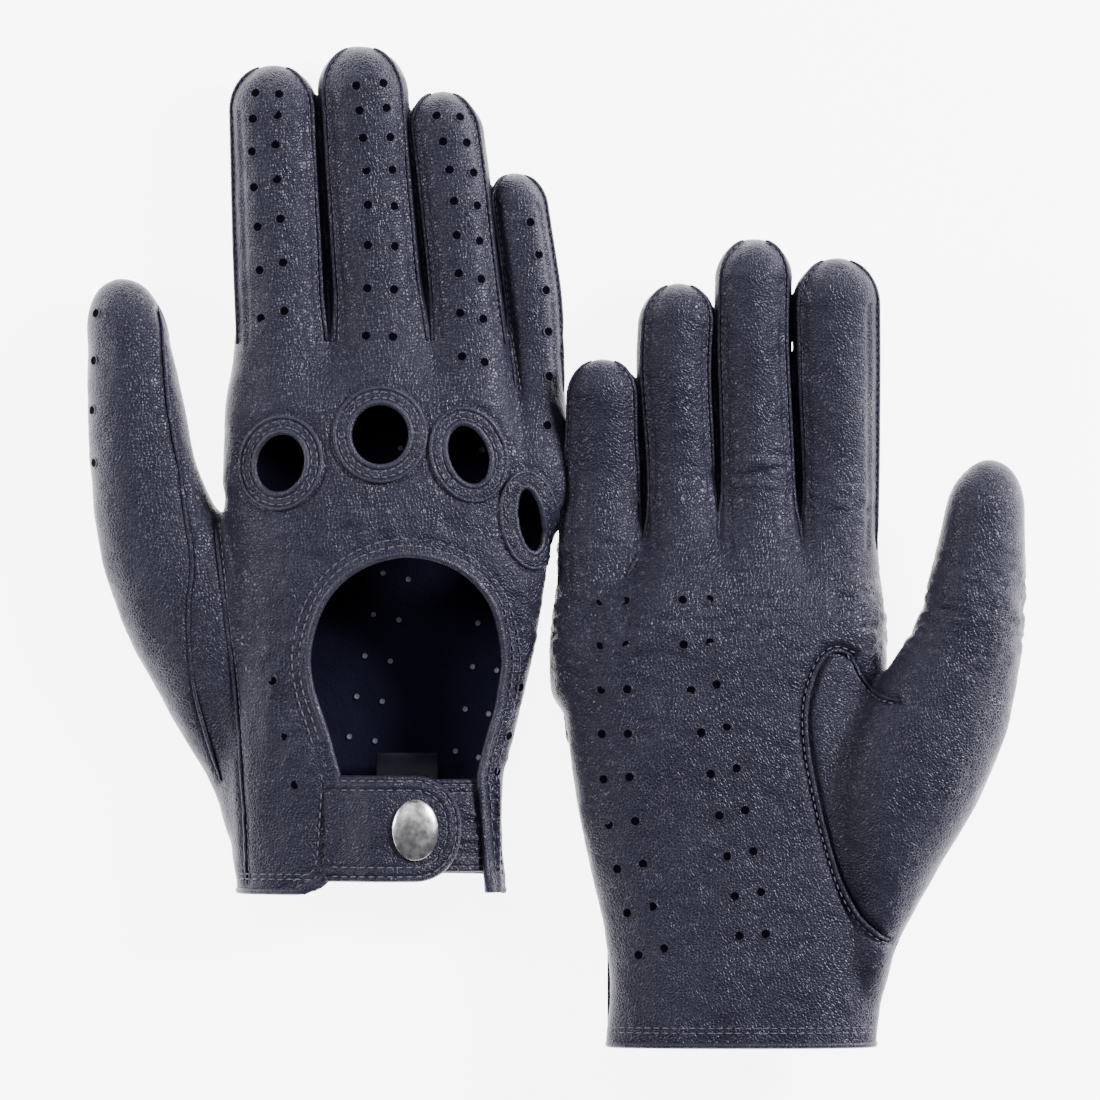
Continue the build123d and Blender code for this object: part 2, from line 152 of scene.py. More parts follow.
# Rows of perforations: the row's path, how many, the first and last pitch, the gap of a pair (0 for a single
# row) and how much further along the right hole of a pair lies.
BACK_ROWS = (
    (((-25.0, 192.2), (-25.8, 177.0), (-24.2, 157.0), (-23.4, 133.5)), 7, 6.5, 11.6, 5.6, -1.5),
    (((-0.4, 194.4), (1.3, 181.0), (2.5, 164.0), (2.0, 131.0)), 8, 6.0, 11.4, 6.4, 0.3),
    (((18.3, 187.5), (21.5, 174.0), (23.2, 159.0), (24.7, 126.0)), 8, 6.5, 10.4, 5.4, 1.6),
    (((38.2, 161.3), (42.0, 145.0), (42.8, 124.0), (42.0, 104.0)), 6, 8.0, 11.8, 0.0, 0.0),
    (((-23.3, 51.1), (-20.9, 37.4), (-17.5, 24.0)), 3, 13.6, 12.0, 0.0, 0.0),
    (((35.8, 49.4), (32.8, 37.4), (29.8, 27.0)), 3, 12.0, 9.0, 0.0, 0.0),
    (((-66.3, 139.4), (-67.2, 115.9), (-66.4, 100.0)), 4, 11.5, 12.6, 0.0, 0.0),
)
PALM_ROWS = (
    (((29.6, 106.6), (29.4, 85.0), (28.7, 63.7), (25.3, 41.6), (19.5, 19.0)), 9, 10.6, 10.6, 6.2, 0.0),
    (((9.9, 107.0), (9.2, 92.0), (3.3, 66.0), (-2.4, 37.0), (-4.0, 22.0)), 9, 10.6, 9.8, 6.3, 0.0),
)


PALM_THUMB_SEAM = (
    (-27.4, 93.8), (-23.6, 95.0), (-20.2, 92.6), (-17.7, 86.8), (-16.4, 79.2), (-17.1, 70.0), (-19.0, 60.0),
    (-21.6, 49.0), (-24.7, 39.2), (-28.8, 31.4), (-33.4, 27.0), (-37.0, 25.4),
)  # fmt: skip
QUIRK_SEAM = ((-27.4, 93.8), (-29.8, 88.8), (-33.8, 84.4), (-38.4, 83.0))
BACK_SIDE_SEAM = (
    (-37.4, 88.5), (-36.9, 84.0), (-35.8, 74.0), (-34.6, 64.0), (-32.9, 50.4), (-31.6, 34.0),
    (-30.6, 18.0), (-30.2, 2.0),
)  # fmt: skip
# The seam on the back of the thumb: (y, place across the thumb as a share of its half width).
THUMB_SEAM = (
    (141.0, 0.95), (133.0, 0.84), (118.0, 0.69), (104.0, 0.68), (92.0, 0.55), (80.0, 0.33), (70.0, 0.07),
    (58.0, -0.16),
    (46.0, -0.33), (34.0, -0.4), (27.0, -0.4),
)  # fmt: skip


# --- numbers along a curve ----------------------------------------------------------------------------


def smooth_table(ys, values, spread=4.0):
    """A smoothed lookup of a value that is stated at a few places along y."""
    values = np.interp(TABLE_Y, ys, values)
    reach = int(3 * spread / 0.5)
    kernel = np.exp(-0.5 * (np.arange(-reach, reach + 1) * 0.5 / spread) ** 2)
    padded = np.pad(values, reach, mode="edge")
    return np.convolve(padded, kernel / kernel.sum(), mode="valid")


def spline(points, step=0.8):
    """Evenly spaced points on a smooth open curve through the given points, of any dimension."""
    p = np.array(points, float)
    if len(p) > 2:
        ends = np.vstack([2 * p[0] - p[1], p, 2 * p[-1] - p[-2]])
        t = np.linspace(0, 1, 24, endpoint=False)[:, None]
        parts = []
        for a, b, c, d in zip(ends, ends[1:], ends[2:], ends[3:]):
            bend = (2 * a - 5 * b + 4 * c - d) * t**2 + (3 * b - a - 3 * c + d) * t**3
            parts.append(0.5 * (2 * b + (c - a) * t + bend))
        p = np.vstack([*parts, p[-1:]])
    return respaced(p, step)


def respaced(p, step):
    """The same polyline with evenly spaced points."""
    along = np.concatenate([[0], np.cumsum(np.linalg.norm(np.diff(p, axis=0), axis=1))])
    count = max(int(round(along[-1] / step)), 2)
    marks = np.linspace(0, along[-1], count + 1)
    return np.stack([np.interp(marks, along, p[:, i]) for i in range(p.shape[1])], axis=1)


def outline_distance(xy, outline):
    """Signed distance from plan points to a closed outline, negative inside it."""
    a, b = outline, np.roll(outline, -1, axis=0)
    best = np.full(len(xy), 1e9)
    crossings = np.zeros(len(xy), int)
    for p, q in zip(a, b):
        edge = q - p
        t = np.clip(((xy - p) @ edge) / max(edge @ edge, 1e-9), 0, 1)
        best = np.minimum(best, np.linalg.norm(xy - p - t[:, None] * edge, axis=1))
        spans = (p[1] > xy[:, 1]) != (q[1] > xy[:, 1])
        level = p[0] + edge[0] * (xy[:, 1] - p[1]) / (edge[1] if abs(edge[1]) > 1e-9 else 1e-9)
        crossings += spans & (xy[:, 0] < level)
    return np.where(crossings % 2 == 1, -best, best)


def line_distance(xy, line):
    """Distance from plan points to an open line."""
    best = np.full(len(xy), 1e9)
    for p, q in zip(line, line[1:]):
        edge = q - p
        t = np.clip(((xy - p) @ edge) / max(edge @ edge, 1e-9), 0, 1)
        best = np.minimum(best, np.linalg.norm(xy - p - t[:, None] * edge, axis=1))
    return best


def bump(distance, width):
    return np.exp(-((distance / width) ** 2))


def smooth_step(low, high, value):
    t = np.clip((value - low) / (high - low), 0, 1)
    return t * t * (3 - 2 * t)


def smooth_min(a, b, k):
    h = np.clip(0.5 + 0.5 * (b - a) / k, 0, 1)
    return b * (1 - h) + a * h - k * h * (1 - h)


def wave(points, size, seed=0.0, stretch=(1, 1, 1)):
    """Smooth noise from -1 to 1 at each point."""
    q = points * (np.array(stretch) / size) + seed
    return np.array([noise.noise(Vector(v)) for v in q])


# --- the form of a glove ------------------------------------------------------------------------------


class Form:
    """The signed form of one glove: negative inside the leather's outer surface."""

    def __init__(self, glove):
        self.glove = glove
        rows = np.array(glove["hand"], float).T
        self.hand_rows = [smooth_table(rows[0], rows[i]) for i in range(1, 6)]
        self.tubes = {}
        for name in FINGERS:
            rows = np.array(glove["fingers"][name], float).T
            tip_x, tip_y = glove["tips"][name]
            shoulder = tip_y - rows[2][-1] * 1.05
            base_half, tip_half = glove["heights"][name]
            ys = np.append(rows[0], tip_y)
            halves = np.interp(ys, [rows[0][1], tip_y], [base_half, tip_half])
            bend = np.clip((TABLE_Y - glove["bend_y"] - 14) / (tip_y - glove["bend_y"] - 14), 0, 1)
            half = smooth_table(ys, halves)
            if glove["turned"]:
                centre = FLIP_HEIGHT - 2.0 - half - glove["curl"] * bend**1.2
            else:
                centre = half + 0.4
            self.tubes[name] = (
                smooth_table(ys, np.append(rows[1], tip_x), 5.0),
                smooth_table(ys, np.append(rows[2], rows[2][-1]), 5.0),
                centre, half, rows[0][0], shoulder, tip_y,
            )  # fmt: skip
        rows = np.array(glove["thumb"], float).T
        tip_x, tip_y = glove["thumb_tip"]
        ys = np.append(rows[0], tip_y)
        grown = [np.append(rows[i], rows[i][-1]) for i in range(1, 5)]
        grown[0][-1] = tip_x
        centre_x, width, centre_z, half = [smooth_table(ys, v, 4.0) for v in grown]
        self.tubes["thumb"] = (centre_x, width, centre_z, half, 20.0, tip_y - rows[2][-1] * 1.4, tip_y)

    def tube(self, name, p):
        """A finger's or the thumb's own signed form."""
        x, y, z = p
        centre_x, width, centre_z, half, foot, shoulder, tip = self.tubes[name]
        cx, w, cz, h = (np.interp(y, TABLE_Y, t) for t in (centre_x, width, centre_z, half))
        over = np.clip((y - shoulder) / (tip - shoulder), 0, None)
        under = np.clip((foot - y) / 6.0, 0, None)
        power = 2.15
        f = (np.abs((x - cx) / w) ** power + np.abs((z - cz) / h) ** power) ** (2 / power)
        f = f + over**2 + under**2
        return (np.sqrt(f) - 1) * np.minimum(w, h)

    def hand(self, p):
        x, y, z = p
        left, right, middle, rise, drop = (np.interp(y, TABLE_Y, t) for t in self.hand_rows)
        across = (x - (left + right) / 2) / ((right - left) / 2)
        up = z > middle
        height = np.where(up, rise * (1 - self.glove["skew"] * np.clip(across, -1, 1)), drop)
        power = np.where(up, 2.3, 2.5)
        f = (np.abs(across) ** power + np.abs((z - middle) / height) ** power) ** (2 / power)
        start, end = self.glove["hand_end"]
        late = 14.0 * smooth_step(26, 38, x) if not self.glove["turned"] else 8.0 * smooth_step(16, 30, x)
        f = f + np.clip((y + late - start) / (end - start), 0, None) ** 2
        return (np.sqrt(f) - 1) * np.minimum(height, 14.0)

    def __call__(self, p):
        fingers = None
        for name in FINGERS:
            tube = self.tube(name, p)
            fingers = tube if fingers is None else smooth_min(fingers, tube, 0.5)
        d = smooth_min(self.hand(p), fingers, 6.0)
        d = smooth_min(d, self.tube("thumb", p), 2.6)
        floor = p[2] - FLIP_HEIGHT if self.glove["turned"] else 0.15 - p[2]
        return -smooth_min(-d, -floor, 2.0)

    def gradient(self, p):
        """The form's value and unit gradient at points given as rows."""
        q = p.T
        step = 0.05
        value = self(q)
        slopes = []
        for axis in range(3):
            moved = q.copy()
            moved[axis] += step
            slopes.append((self(moved) - value) / step)
        slope = np.stack(slopes, axis=1)
        length = np.maximum(np.linalg.norm(slope, axis=1), 1e-6)
        return value, slope / length[:, None], length

    def settle(self, p, rounds=4):
        """Moves points onto the surface. Returns the points and their normals."""
        for _ in range(rounds):
            value, normal, length = self.gradient(p)
            p = p - normal * np.clip(value / length, -1.5, 1.5)[:, None]
        return p, self.gradient(p)[1]

    def lift(self, xy, side):
        """Points and normals on the back (side 1) or palm (side -1), over plan points kept on the form."""
        levels = np.arange(-9.0, 34.0, 0.5)[::-side]
        xy = np.array(xy, float)
        for _ in range(24):
            grid = np.column_stack([np.repeat(xy, len(levels), axis=0), np.tile(levels, len(xy))])
            inside = (self(grid.T) < 0).reshape(len(xy), len(levels))
            off = ~inside.any(axis=1)
            if not off.any():
                break
            xy[off, 0] -= 0.3 * np.sign(xy[off, 0])
        z = levels[np.argmax(inside, axis=1)] + side * 0.25
        return self.settle(np.column_stack([xy, z]))


def surface_net(form, low, high, step):
    """Vertices and quads on the zero surface of a form inside a box."""
    axes = [np.arange(a, b, step) for a, b in zip(low, high)]
    grid = np.stack(np.meshgrid(*axes, indexing="ij"))
    field = form(grid.reshape(3, -1)).reshape(grid.shape[1:])
    inside = field < 0
    n = [s - 1 for s in field.shape]
    total = np.zeros(n, np.int8)
    for i in (0, 1):
        for j in (0, 1):
            for k in (0, 1):
                total += inside[i : i + n[0], j : j + n[1], k : k + n[2]]
    mixed = (total > 0) & (total < 8)
    index = np.full(n, -1, int)
    cells = np.argwhere(mixed)
    index[mixed] = np.arange(len(cells))
    place, count = np.zeros((len(cells), 3)), np.zeros(len(cells))
    units = np.eye(3, dtype=int)
    for axis in range(3):
        u, v = units[(axis + 1) % 3], units[(axis + 2) % 3]
        for offset in (0 * u, u, v, u + v):
            a = cells + offset
            fa, fb = field[tuple(a.T)], field[tuple((a + units[axis]).T)]
            cross = (fa < 0) != (fb < 0)
            t = np.where(cross, fa / np.where(cross, fa - fb, 1), 0)
            place[cross] += (a + t[:, None] * units[axis])[cross]
            count[cross] += 1
    vertices = np.array(low) + step * place / count[:, None]
    quads = []
    for axis in range(3):
        u, v = units[(axis + 1) % 3], units[(axis + 2) % 3]
        near, far = [slice(None)] * 3, [slice(None)] * 3
        near[axis], far[axis] = slice(0, -1), slice(1, None)
        edges = np.argwhere(inside[tuple(near)] != inside[tuple(far)])
        edges = edges[(edges > u + v - 1).all(axis=1) & (edges < np.array(n)).all(axis=1)]
        ring = [index[tuple((edges - o).T)] for o in (0 * u, u, u + v, v)]
        quad = np.stack(ring, axis=1)
        outward = inside[tuple(edges.T)]
        quads.append(np.where(outward[:, None], quad, quad[:, ::-1]))
    return vertices, np.vstack(quads)


def neighbours_average(vertices, quads):
    """Each vertex's mean neighbour."""
    total, count = np.zeros_like(vertices), np.zeros(len(vertices))
    for i in range(4):
        a, b = quads[:, i], quads[:, (i + 1) % 4]
        for p, q in ((a, b), (b, a)):
            for axis in range(3):
                total[:, axis] += np.bincount(p, vertices[q, axis], len(vertices))
            count += np.bincount(p, minlength=len(vertices))
    return total / np.maximum(count, 1)[:, None]


def vertex_normals(vertices, quads):
    """Area-weighted normals."""
    a, b, c, d = (vertices[quads[:, i]] for i in range(4))
    cross = np.cross(c - a, d - b)
    total = np.zeros_like(vertices)
    for i in range(4):
        for axis in range(3):
            total[:, axis] += np.bincount(quads[:, i], cross[:, axis], len(vertices))
    return total / np.maximum(np.linalg.norm(total, axis=1), 1e-9)[:, None]


# --- openings and seams -------------------------------------------------------------------------------


def knuckle_outline(glove, name, grow=0.0):
    x, y, half_width, half_length, lean = KNUCKLES[name]
    x += glove["little_shift"] * (name == "little")
    turn = np.linspace(0, 2 * pi, 72, endpoint=False)
    a, b = (half_width + grow) * np.cos(turn), (half_length + grow) * np.sin(turn)
    c, s = cos(radians(lean)), sin(radians(lean))
    return np.column_stack([x + c * a - s * b, y + glove["knuckle_shift"] + s * a + c * b])


def keyhole_line():
    """The opening's edge from the cuff up round the back of the hand and down to the cuff."""
    round_part = spline(KEYHOLE, 1.0)
    left = spline(SLIT_LEFT, 0.8)[:-1]
    right = np.linspace(round_part[-1], SLIT_RIGHT, 40)[1:]
    return np.vstack([left, round_part, right])


def outset(line, distance):
    """A plan line moved sideways, to its left for a positive distance."""
    along = np.gradient(line, axis=0)
    along /= np.linalg.norm(along, axis=1)[:, None]
    return line + distance * np.column_stack([-along[:, 1], along[:, 0]])


def finger_seam(form, name, side_x, side_z):
    """The seam along one side and one face of a finger, from its root to its tip, settled on the form."""
    centre_x, width, centre_z, half, _, shoulder, tip = form.tubes[name]
    glove = form.glove
    start = glove["bend_y"] - (1.5 if name != "little" else 13.0)
    round_tip = shoulder + (tip - shoulder) * np.sin(np.linspace(0, TIP_TURN, 16))
    ys = np.concatenate([np.arange(start, shoulder, 1.0), round_tip])
    cx, w, cz, h = (np.interp(ys, TABLE_Y, t) for t in (centre_x, width, centre_z, half))
    over = np.sqrt(np.clip(1 - np.clip((ys - shoulder) / (tip - shoulder), 0, 1) ** 2, 0, 1))
    ratio = OUTER_RATIO if (name, side_x) in (("index", -1), ("little", 1)) else SEAM_RATIO
    x = cx + side_x * w * ratio * over
    z = cz + side_z * h * np.sqrt(1 - ratio**2) * np.maximum(over, 0.4)
    return form.settle(np.column_stack([x, ys, z]), 6)


def thumb_seam(form):
    """The lengthwise seam on the back of the thumb, from its tip to the wrist."""
    ys, ratios = spline(THUMB_SEAM, 1.2).T
    cx, w, cz, h = (np.interp(ys, TABLE_Y, t) for t in form.tubes["thumb"][:4])
    z = cz + h * np.sqrt(1 - ratios**2)
    return form.settle(np.column_stack([cx + ratios * w, ys, z]), 6)[0]


def seam_relief(form, p, normal, turned):
    """How far the leather sinks (negative) or swells at its seams and creases."""
    depth = np.zeros(len(p))
    xy = p[:, :2]
    back, palm = normal[:, 2] > 0.1, normal[:, 2] < -0.1
    keyhole = keyhole_line()
    near = back & (p[:, 1] < 100)
    d = line_distance(xy[near], keyhole)
    depth[near] += 0.35 * bump(d - 1.0, 1.1) - 0.3 * bump(d - 2.5, 0.5) - 0.25 * bump(d - 4.2, 0.5)
    for name in KNUCKLES:
        outline = knuckle_outline(form.glove, name)
        near = back & (np.abs(xy - outline.mean(axis=0)).max(axis=1) < 18)
        d = outline_distance(xy[near], outline)
        stitched = 0.26 * bump(d - 1.5, 0.4) + 0.26 * bump(d - 2.9, 0.4)
        depth[near] += 0.45 * bump(d - 2.4, 1.9) - stitched - 0.5 * bump(d - 4.7, 0.8)
    for line, side, sink, wide in (
        (spline(PALM_THUMB_SEAM, 1.5), palm, 1.5, 1.5), (spline(QUIRK_SEAM, 1.5), palm, 1.0, 1.0),
        (spline(BACK_SIDE_SEAM, 1.5), back, 0.7, 0.9), (thumb_seam(form)[:, :2], back, 0.6, 0.8),
    ):  # fmt: skip
        low, high = line.min(axis=0) - 6, line.max(axis=0) + 6
        near = side & (xy > low).all(axis=1) & (xy < high).all(axis=1)
        depth[near] -= sink * bump(line_distance(xy[near], line), wide)
    return depth


def wrinkles(glove, p, normal, turned):
    """Creases and the soft unevenness of worn leather."""
    depth = 0.42 * wave(p, 13.0, 3.1) + 0.16 * wave(p, 5.0, 7.7)
    ridged = 1 - 2 * np.abs(wave(p, 5.5, 1.7, (1.0, 1.0, 0.6)))
    fine = 1 - 2 * np.abs(wave(p, 2.6, 9.3, (0.7, 1.2, 0.7)))
    y = p[:, 1]
    if turned:
        creased = 0.0
        for name in FINGERS:
            rows = glove["fingers"][name]
            on = np.abs(p[:, 0] - rows[1][1]) < rows[1][2]
            centre = {"index": 131.5, "middle": 138.5, "ring": 132, "little": 122}[name]
            creased = creased + on * bump(y - centre, 5.5)
        creased = np.clip(creased + 0.9 * bump(y - 104, 12) * (normal[:, 2] < 0), 0, 1)
        across = 1 - 2 * np.abs(wave(p, 4.0, 4.4, (0.35, 1.5, 0.6)))
        depth += creased * (0.5 * across + 0.26 * fine)
        diagonal = p[:, :2] @ np.array([0.6, 0.8])
        depth += 0.9 * bump(diagonal - 66, 6.0) * (normal[:, 2] < -0.5) * smooth_step(-26, -8, p[:, 0]) * 0.6
    else:
        d = line_distance(p[:, :2], keyhole_line()[::4])
        around = bump(d - 9, 7.0) * (normal[:, 2] > 0.2) * (y > 30)
        direction = wave(p, 4.2, 6.0, (1.3, 0.5, 0.5))
        depth += around * (0.36 * ridged + 0.3 * direction)
    beside = (y > glove["bend_y"]) * smooth_step(0.7, 0.95, np.abs(normal[:, 0]))
    return (depth + 0.05 * fine) * (1 - 0.85 * beside)


# --- making Blender objects ---------------------------------------------------------------------------


def to_world(glove, p):
    x0, y0 = glove["place"]
    if glove["turned"]:
        return np.column_stack([x0 - p[:, 0], y0 + p[:, 1], FLIP_HEIGHT - p[:, 2]]) * MM
    return np.column_stack([x0 + p[:, 0], y0 + p[:, 1], p[:, 2]]) * MM


def turn_to_world(glove, v):
    return v * np.array([-1, 1, -1]) if glove["turned"] else v


def make_object(name, points, faces, materials, face_materials=None, normals=None):
    mesh = bpy.data.meshes.new(name)
    mesh.from_pydata(points.tolist(), [], faces.tolist() if isinstance(faces, np.ndarray) else faces)
    for material in materials:
        mesh.materials.append(material)
    if face_materials is not None:
        mesh.polygons.foreach_set("material_index", np.array(face_materials, np.int32))
    mesh.polygons.foreach_set("use_smooth", np.ones(len(mesh.polygons), bool))
    if normals is not None:
        mesh.normals_split_custom_set_from_vertices(normals.tolist())
    mesh.update()
    made = bpy.data.objects.new(name, mesh)
    bpy.context.scene.collection.objects.link(made)
    return made


class Trim:
    """Collects small pieces of one kind, then makes one object for each body that they ride on."""

    def __init__(self):
        self.parts = {}

    def add(self, body, points, faces):
        points_so_far, faces_so_far = self.parts.setdefault(body, ([], []))
        start = sum(len(p) for p in points_so_far)
        points_so_far.append(points)
        faces_so_far.extend([[i + start for i in f] for f in faces])

    def tube(self, body, line, normals, half_width, half_height, closed=False, rise=0.0, sides=10):
        """A cord along a line on the surface, with an oval section."""
        if len(line) < 3:
            return
        if closed:
            along = np.roll(line, -1, axis=0) - np.roll(line, 1, axis=0)
        else:
            along = np.gradient(line, axis=0)
        along /= np.linalg.norm(along, axis=1)[:, None]
        side = np.cross(along, normals)
        side /= np.linalg.norm(side, axis=1)[:, None]
        up = np.cross(side, along)
        turn = np.arange(sides) * 2 * pi / sides
        taper = np.ones(len(line))
        if not closed:
            from_end = np.minimum(np.arange(len(line)), np.arange(len(line))[::-1])
            taper = np.clip((from_end + 1) / 5, 0, 1) ** 0.5
        rings = (
            line[:, None, :] + rise * up[:, None, :]
            + half_width * taper[:, None, None] * np.cos(turn)[None, :, None] * side[:, None, :]
            + half_height * taper[:, None, None] * np.sin(turn)[None, :, None] * up[:, None, :]
        )  # fmt: skip
        count = len(line)
        faces = []
        for i in range(count if closed else count - 1):
            j = (i + 1) % count
            for k in range(sides):
                m = (k + 1) % sides
                faces.append([i * sides + m, j * sides + m, j * sides + k, i * sides + k])
        if not closed:
            faces.append(list(range(sides)))
            faces.append([(count - 1) * sides + k for k in range(sides)][::-1])
        self.add(body, rings.reshape(-1, 3), faces)

    def stitches(self, body, line, normals, pitch=2.3, length=0.78, half_width=0.2, rise=0.12):
        """A row of thread stitches along a line on the surface."""
        spaced = respaced(np.hstack([line, normals]), pitch)
        along = np.gradient(spaced[:, :3], axis=0)
        along /= np.linalg.norm(along, axis=1)[:, None]
        rings, sides = 5, 6
        for p, n, a in zip(spaced[:-1, :3], spaced[:-1, 3:], along):
            n = n / np.linalg.norm(n)
            b = np.cross(a, n)
            points = []
            for i in range(rings):
                t = -1 + 2 * i / (rings - 1)
                r = half_width * np.sqrt(max(1 - t**2, 0.12))
                centre = p + a * t * length + n * (rise * (1 - 0.9 * t**2))
                for k in range(sides):
                    angle = 2 * pi * k / sides
                    points.append(centre + r * (cos(angle) * b + sin(angle) * n))
            faces = []
            for i in range(rings - 1):
                for k in range(sides):
                    m = (k + 1) % sides
                    faces.append([i * sides + m, (i + 1) * sides + m, (i + 1) * sides + k, i * sides + k])
            faces.append(list(range(sides)))
            faces.append([(rings - 1) * sides + k for k in range(sides)][::-1])
            self.add(body, np.array(points), faces)

    def hole(self, body, point, normal, radius=1.2):
        """A punched hole: a rolled rim round a flat floor, which carries the painted shade (outside) and
        painted daylight (inside) seen through the hole.
        """
        a = np.cross(normal, (0.0, 1.0, 0.2))
        a /= np.linalg.norm(a)
        b = np.cross(normal, a)
        sides = 18
        rows = ((radius * 1.22, -0.02), (radius * 1.05, 0.07), (radius * 0.94, 0.05), (radius * 0.86, 0.02))
        points = []
        for r, up in rows:
            for k in range(sides):
                angle = 2 * pi * k / sides
                points.append(point + r * (cos(angle) * a + sin(angle) * b) + normal * up)
        faces = []
        for i in range(len(rows) - 1):
            for k in range(sides):
                m = (k + 1) % sides
                faces.append([i * sides + k, i * sides + m, (i + 1) * sides + m, (i + 1) * sides + k])
        faces.append([(len(rows) - 1) * sides + k for k in range(sides)])
        self.add(body, np.array(points), faces)

    def build(self, label, glove_name, glove, materials, painted_hole_floor=False):
        made = {}
        for body, (points, faces) in self.parts.items():
            points = np.vstack(points)
            # Hole floors (faces of more than ten corners) take the second material: painted shade outside,
            # painted daylight inside.
            sizes = [1 if painted_hole_floor and len(f) > 10 else 0 for f in faces]
            made[body] = make_object(f"{body}_{label}", to_world(glove, points), faces, materials, sizes)
        return made


# --- materials ----------------------------------------------------------------------------------------


class Surface:
    """A material under construction: a Principled surface whose textures use the object's own coordinates."""

    def __init__(self, name, colour, roughness, metallic=0.0):
        self.material = bpy.data.materials.new(name)
        self.material.use_nodes = True
        self.nodes, self.links = self.material.node_tree.nodes, self.material.node_tree.links
        self.shader = self.nodes["Principled BSDF"]
        self.shader.inputs["Base Color"].default_value = (*colour, 1)
        self.shader.inputs["Roughness"].default_value = roughness
        self.shader.inputs["Metallic"].default_value = metallic
        self.place = self.nodes.new("ShaderNodeTexCoord").outputs["Object"]
        self.bumped = None

    def noise(self, scale, detail=4.0, stretch=None):
        node = self.nodes.new("ShaderNodeTexNoise")
        node.inputs["Scale"].default_value = scale
        node.inputs["Detail"].default_value = detail
        self.links.new(self.stretched(stretch), node.inputs["Vector"])
        return node.outputs["Fac"]

    def cells(self, scale, kind="DISTANCE_TO_EDGE"):
        node = self.nodes.new("ShaderNodeTexVoronoi")
        node.feature = kind
        node.inputs["Scale"].default_value = scale
        self.links.new(self.place, node.inputs["Vector"])
        return node.outputs["Distance"]

    def stretched(self, stretch):
        if stretch is None:
            return self.place
        node = self.nodes.new("ShaderNodeMapping")
        node.inputs["Scale"].default_value = stretch
        self.links.new(self.place, node.inputs["Vector"])
        return node.outputs["Vector"]

    def ramp(self, value, low, high, out_low, out_high):
        node = self.nodes.new("ShaderNodeMapRange")
        for key, number in (("From Min", low), ("From Max", high), ("To Min", out_low), ("To Max", out_high)):
            node.inputs[key].default_value = number
        self.links.new(value, node.inputs["Value"])
        return node.outputs["Result"]

    def bump(self, height, distance, strength=1.0):
        node = self.nodes.new("ShaderNodeBump")
        node.inputs["Strength"].default_value = strength
        node.inputs["Distance"].default_value = distance
        self.links.new(height, node.inputs["Height"])
        if self.bumped is not None:
            self.links.new(self.bumped, node.inputs["Normal"])
        self.bumped = node.outputs["Normal"]
        self.links.new(self.bumped, self.shader.inputs["Normal"])

    def mix_colour(self, value, dark, light):
        node = self.nodes.new("ShaderNodeMix")
        node.data_type = "RGBA"
        node.inputs["A"].default_value = (*dark, 1)
        node.inputs["B"].default_value = (*light, 1)
        self.links.new(value, node.inputs["Factor"])
        self.links.new(node.outputs["Result"], self.shader.inputs["Base Color"])

    def roughness(self, value):
        self.links.new(value, self.shader.inputs["Roughness"])


def leather(name, dark, light, roughness=(0.36, 0.48), grain=1.0, specular=0.34):
    s = Surface(name, dark, roughness[0])
    patches = s.noise(55, 3.0)
    s.mix_colour(s.ramp(patches, 0.3, 0.7, 0, 1), dark, light)
    s.roughness(s.ramp(s.noise(140, 3.0), 0.3, 0.7, *roughness))
    s.bump(s.ramp(s.cells(1350), 0.0, 0.25, 0, 1), 0.00014 * grain, 0.7)
    s.bump(s.noise(2600, 2.0), 0.00005 * grain, 0.4)
    s.bump(s.noise(620, 3.0), 0.00022 * grain, 0.45)
    s.bump(s.noise(190, 3.0), 0.0012 * grain, 0.4)
    s.shader.inputs["Sheen Weight"].default_value = 0.02
    s.shader.inputs["Sheen Tint"].default_value = (0.72, 0.70, 0.95, 1)
    s.shader.inputs["Specular IOR Level"].default_value = specular
    s.shader.inputs["Specular Tint"].default_value = (0.86, 0.84, 1.0, 1)
    return s.material


def thread(name, dark, light):
    s = Surface(name, dark, 0.55)
    s.mix_colour(s.noise(1800, 2.0), dark, light)
    s.bump(s.noise(5200, 2.0, (1.0, 2.2, 1.0)), 0.00005, 0.8)
    s.shader.inputs["Sheen Weight"].default_value = 0.1
    return s.material


# Painted shade: a near-black, matte material for the floors of punched holes, standing in for the shade seen
# down each hole.
def painted_hole_floor(name):
    s = Surface(name, (0.0012, 0.0012, 0.003), 0.95)
    s.bump(s.noise(3000, 2.0), 0.00003, 0.5)
    s.shader.inputs["Specular IOR Level"].default_value = 0.03
    return s.material


def metal(name, dark, light, roughness, mottle=420):
    s = Surface(name, dark, roughness, 1.0)
    s.mix_colour(s.ramp(s.noise(mottle, 6.0), 0.35, 0.65, 0, 1), dark, light)
    s.roughness(s.ramp(s.noise(mottle * 1.7, 5.0), 0.3, 0.7, roughness * 0.8, roughness * 1.25))
    s.bump(s.noise(900, 6.0), 0.00005, 0.5)
    return s.material


def ribbon(name):
    s = Surface(name, (0.008, 0.008, 0.018), 0.5)
    s.mix_colour(s.noise(2400, 2.0, (1.0, 5.0, 1.0)), (0.004, 0.004, 0.009), (0.010, 0.010, 0.020))
    s.bump(s.noise(3200, 2.0, (4.0, 1.0, 1.0)), 0.00006, 0.8)
    s.shader.inputs["Specular IOR Level"].default_value = 0.12
    return s.material


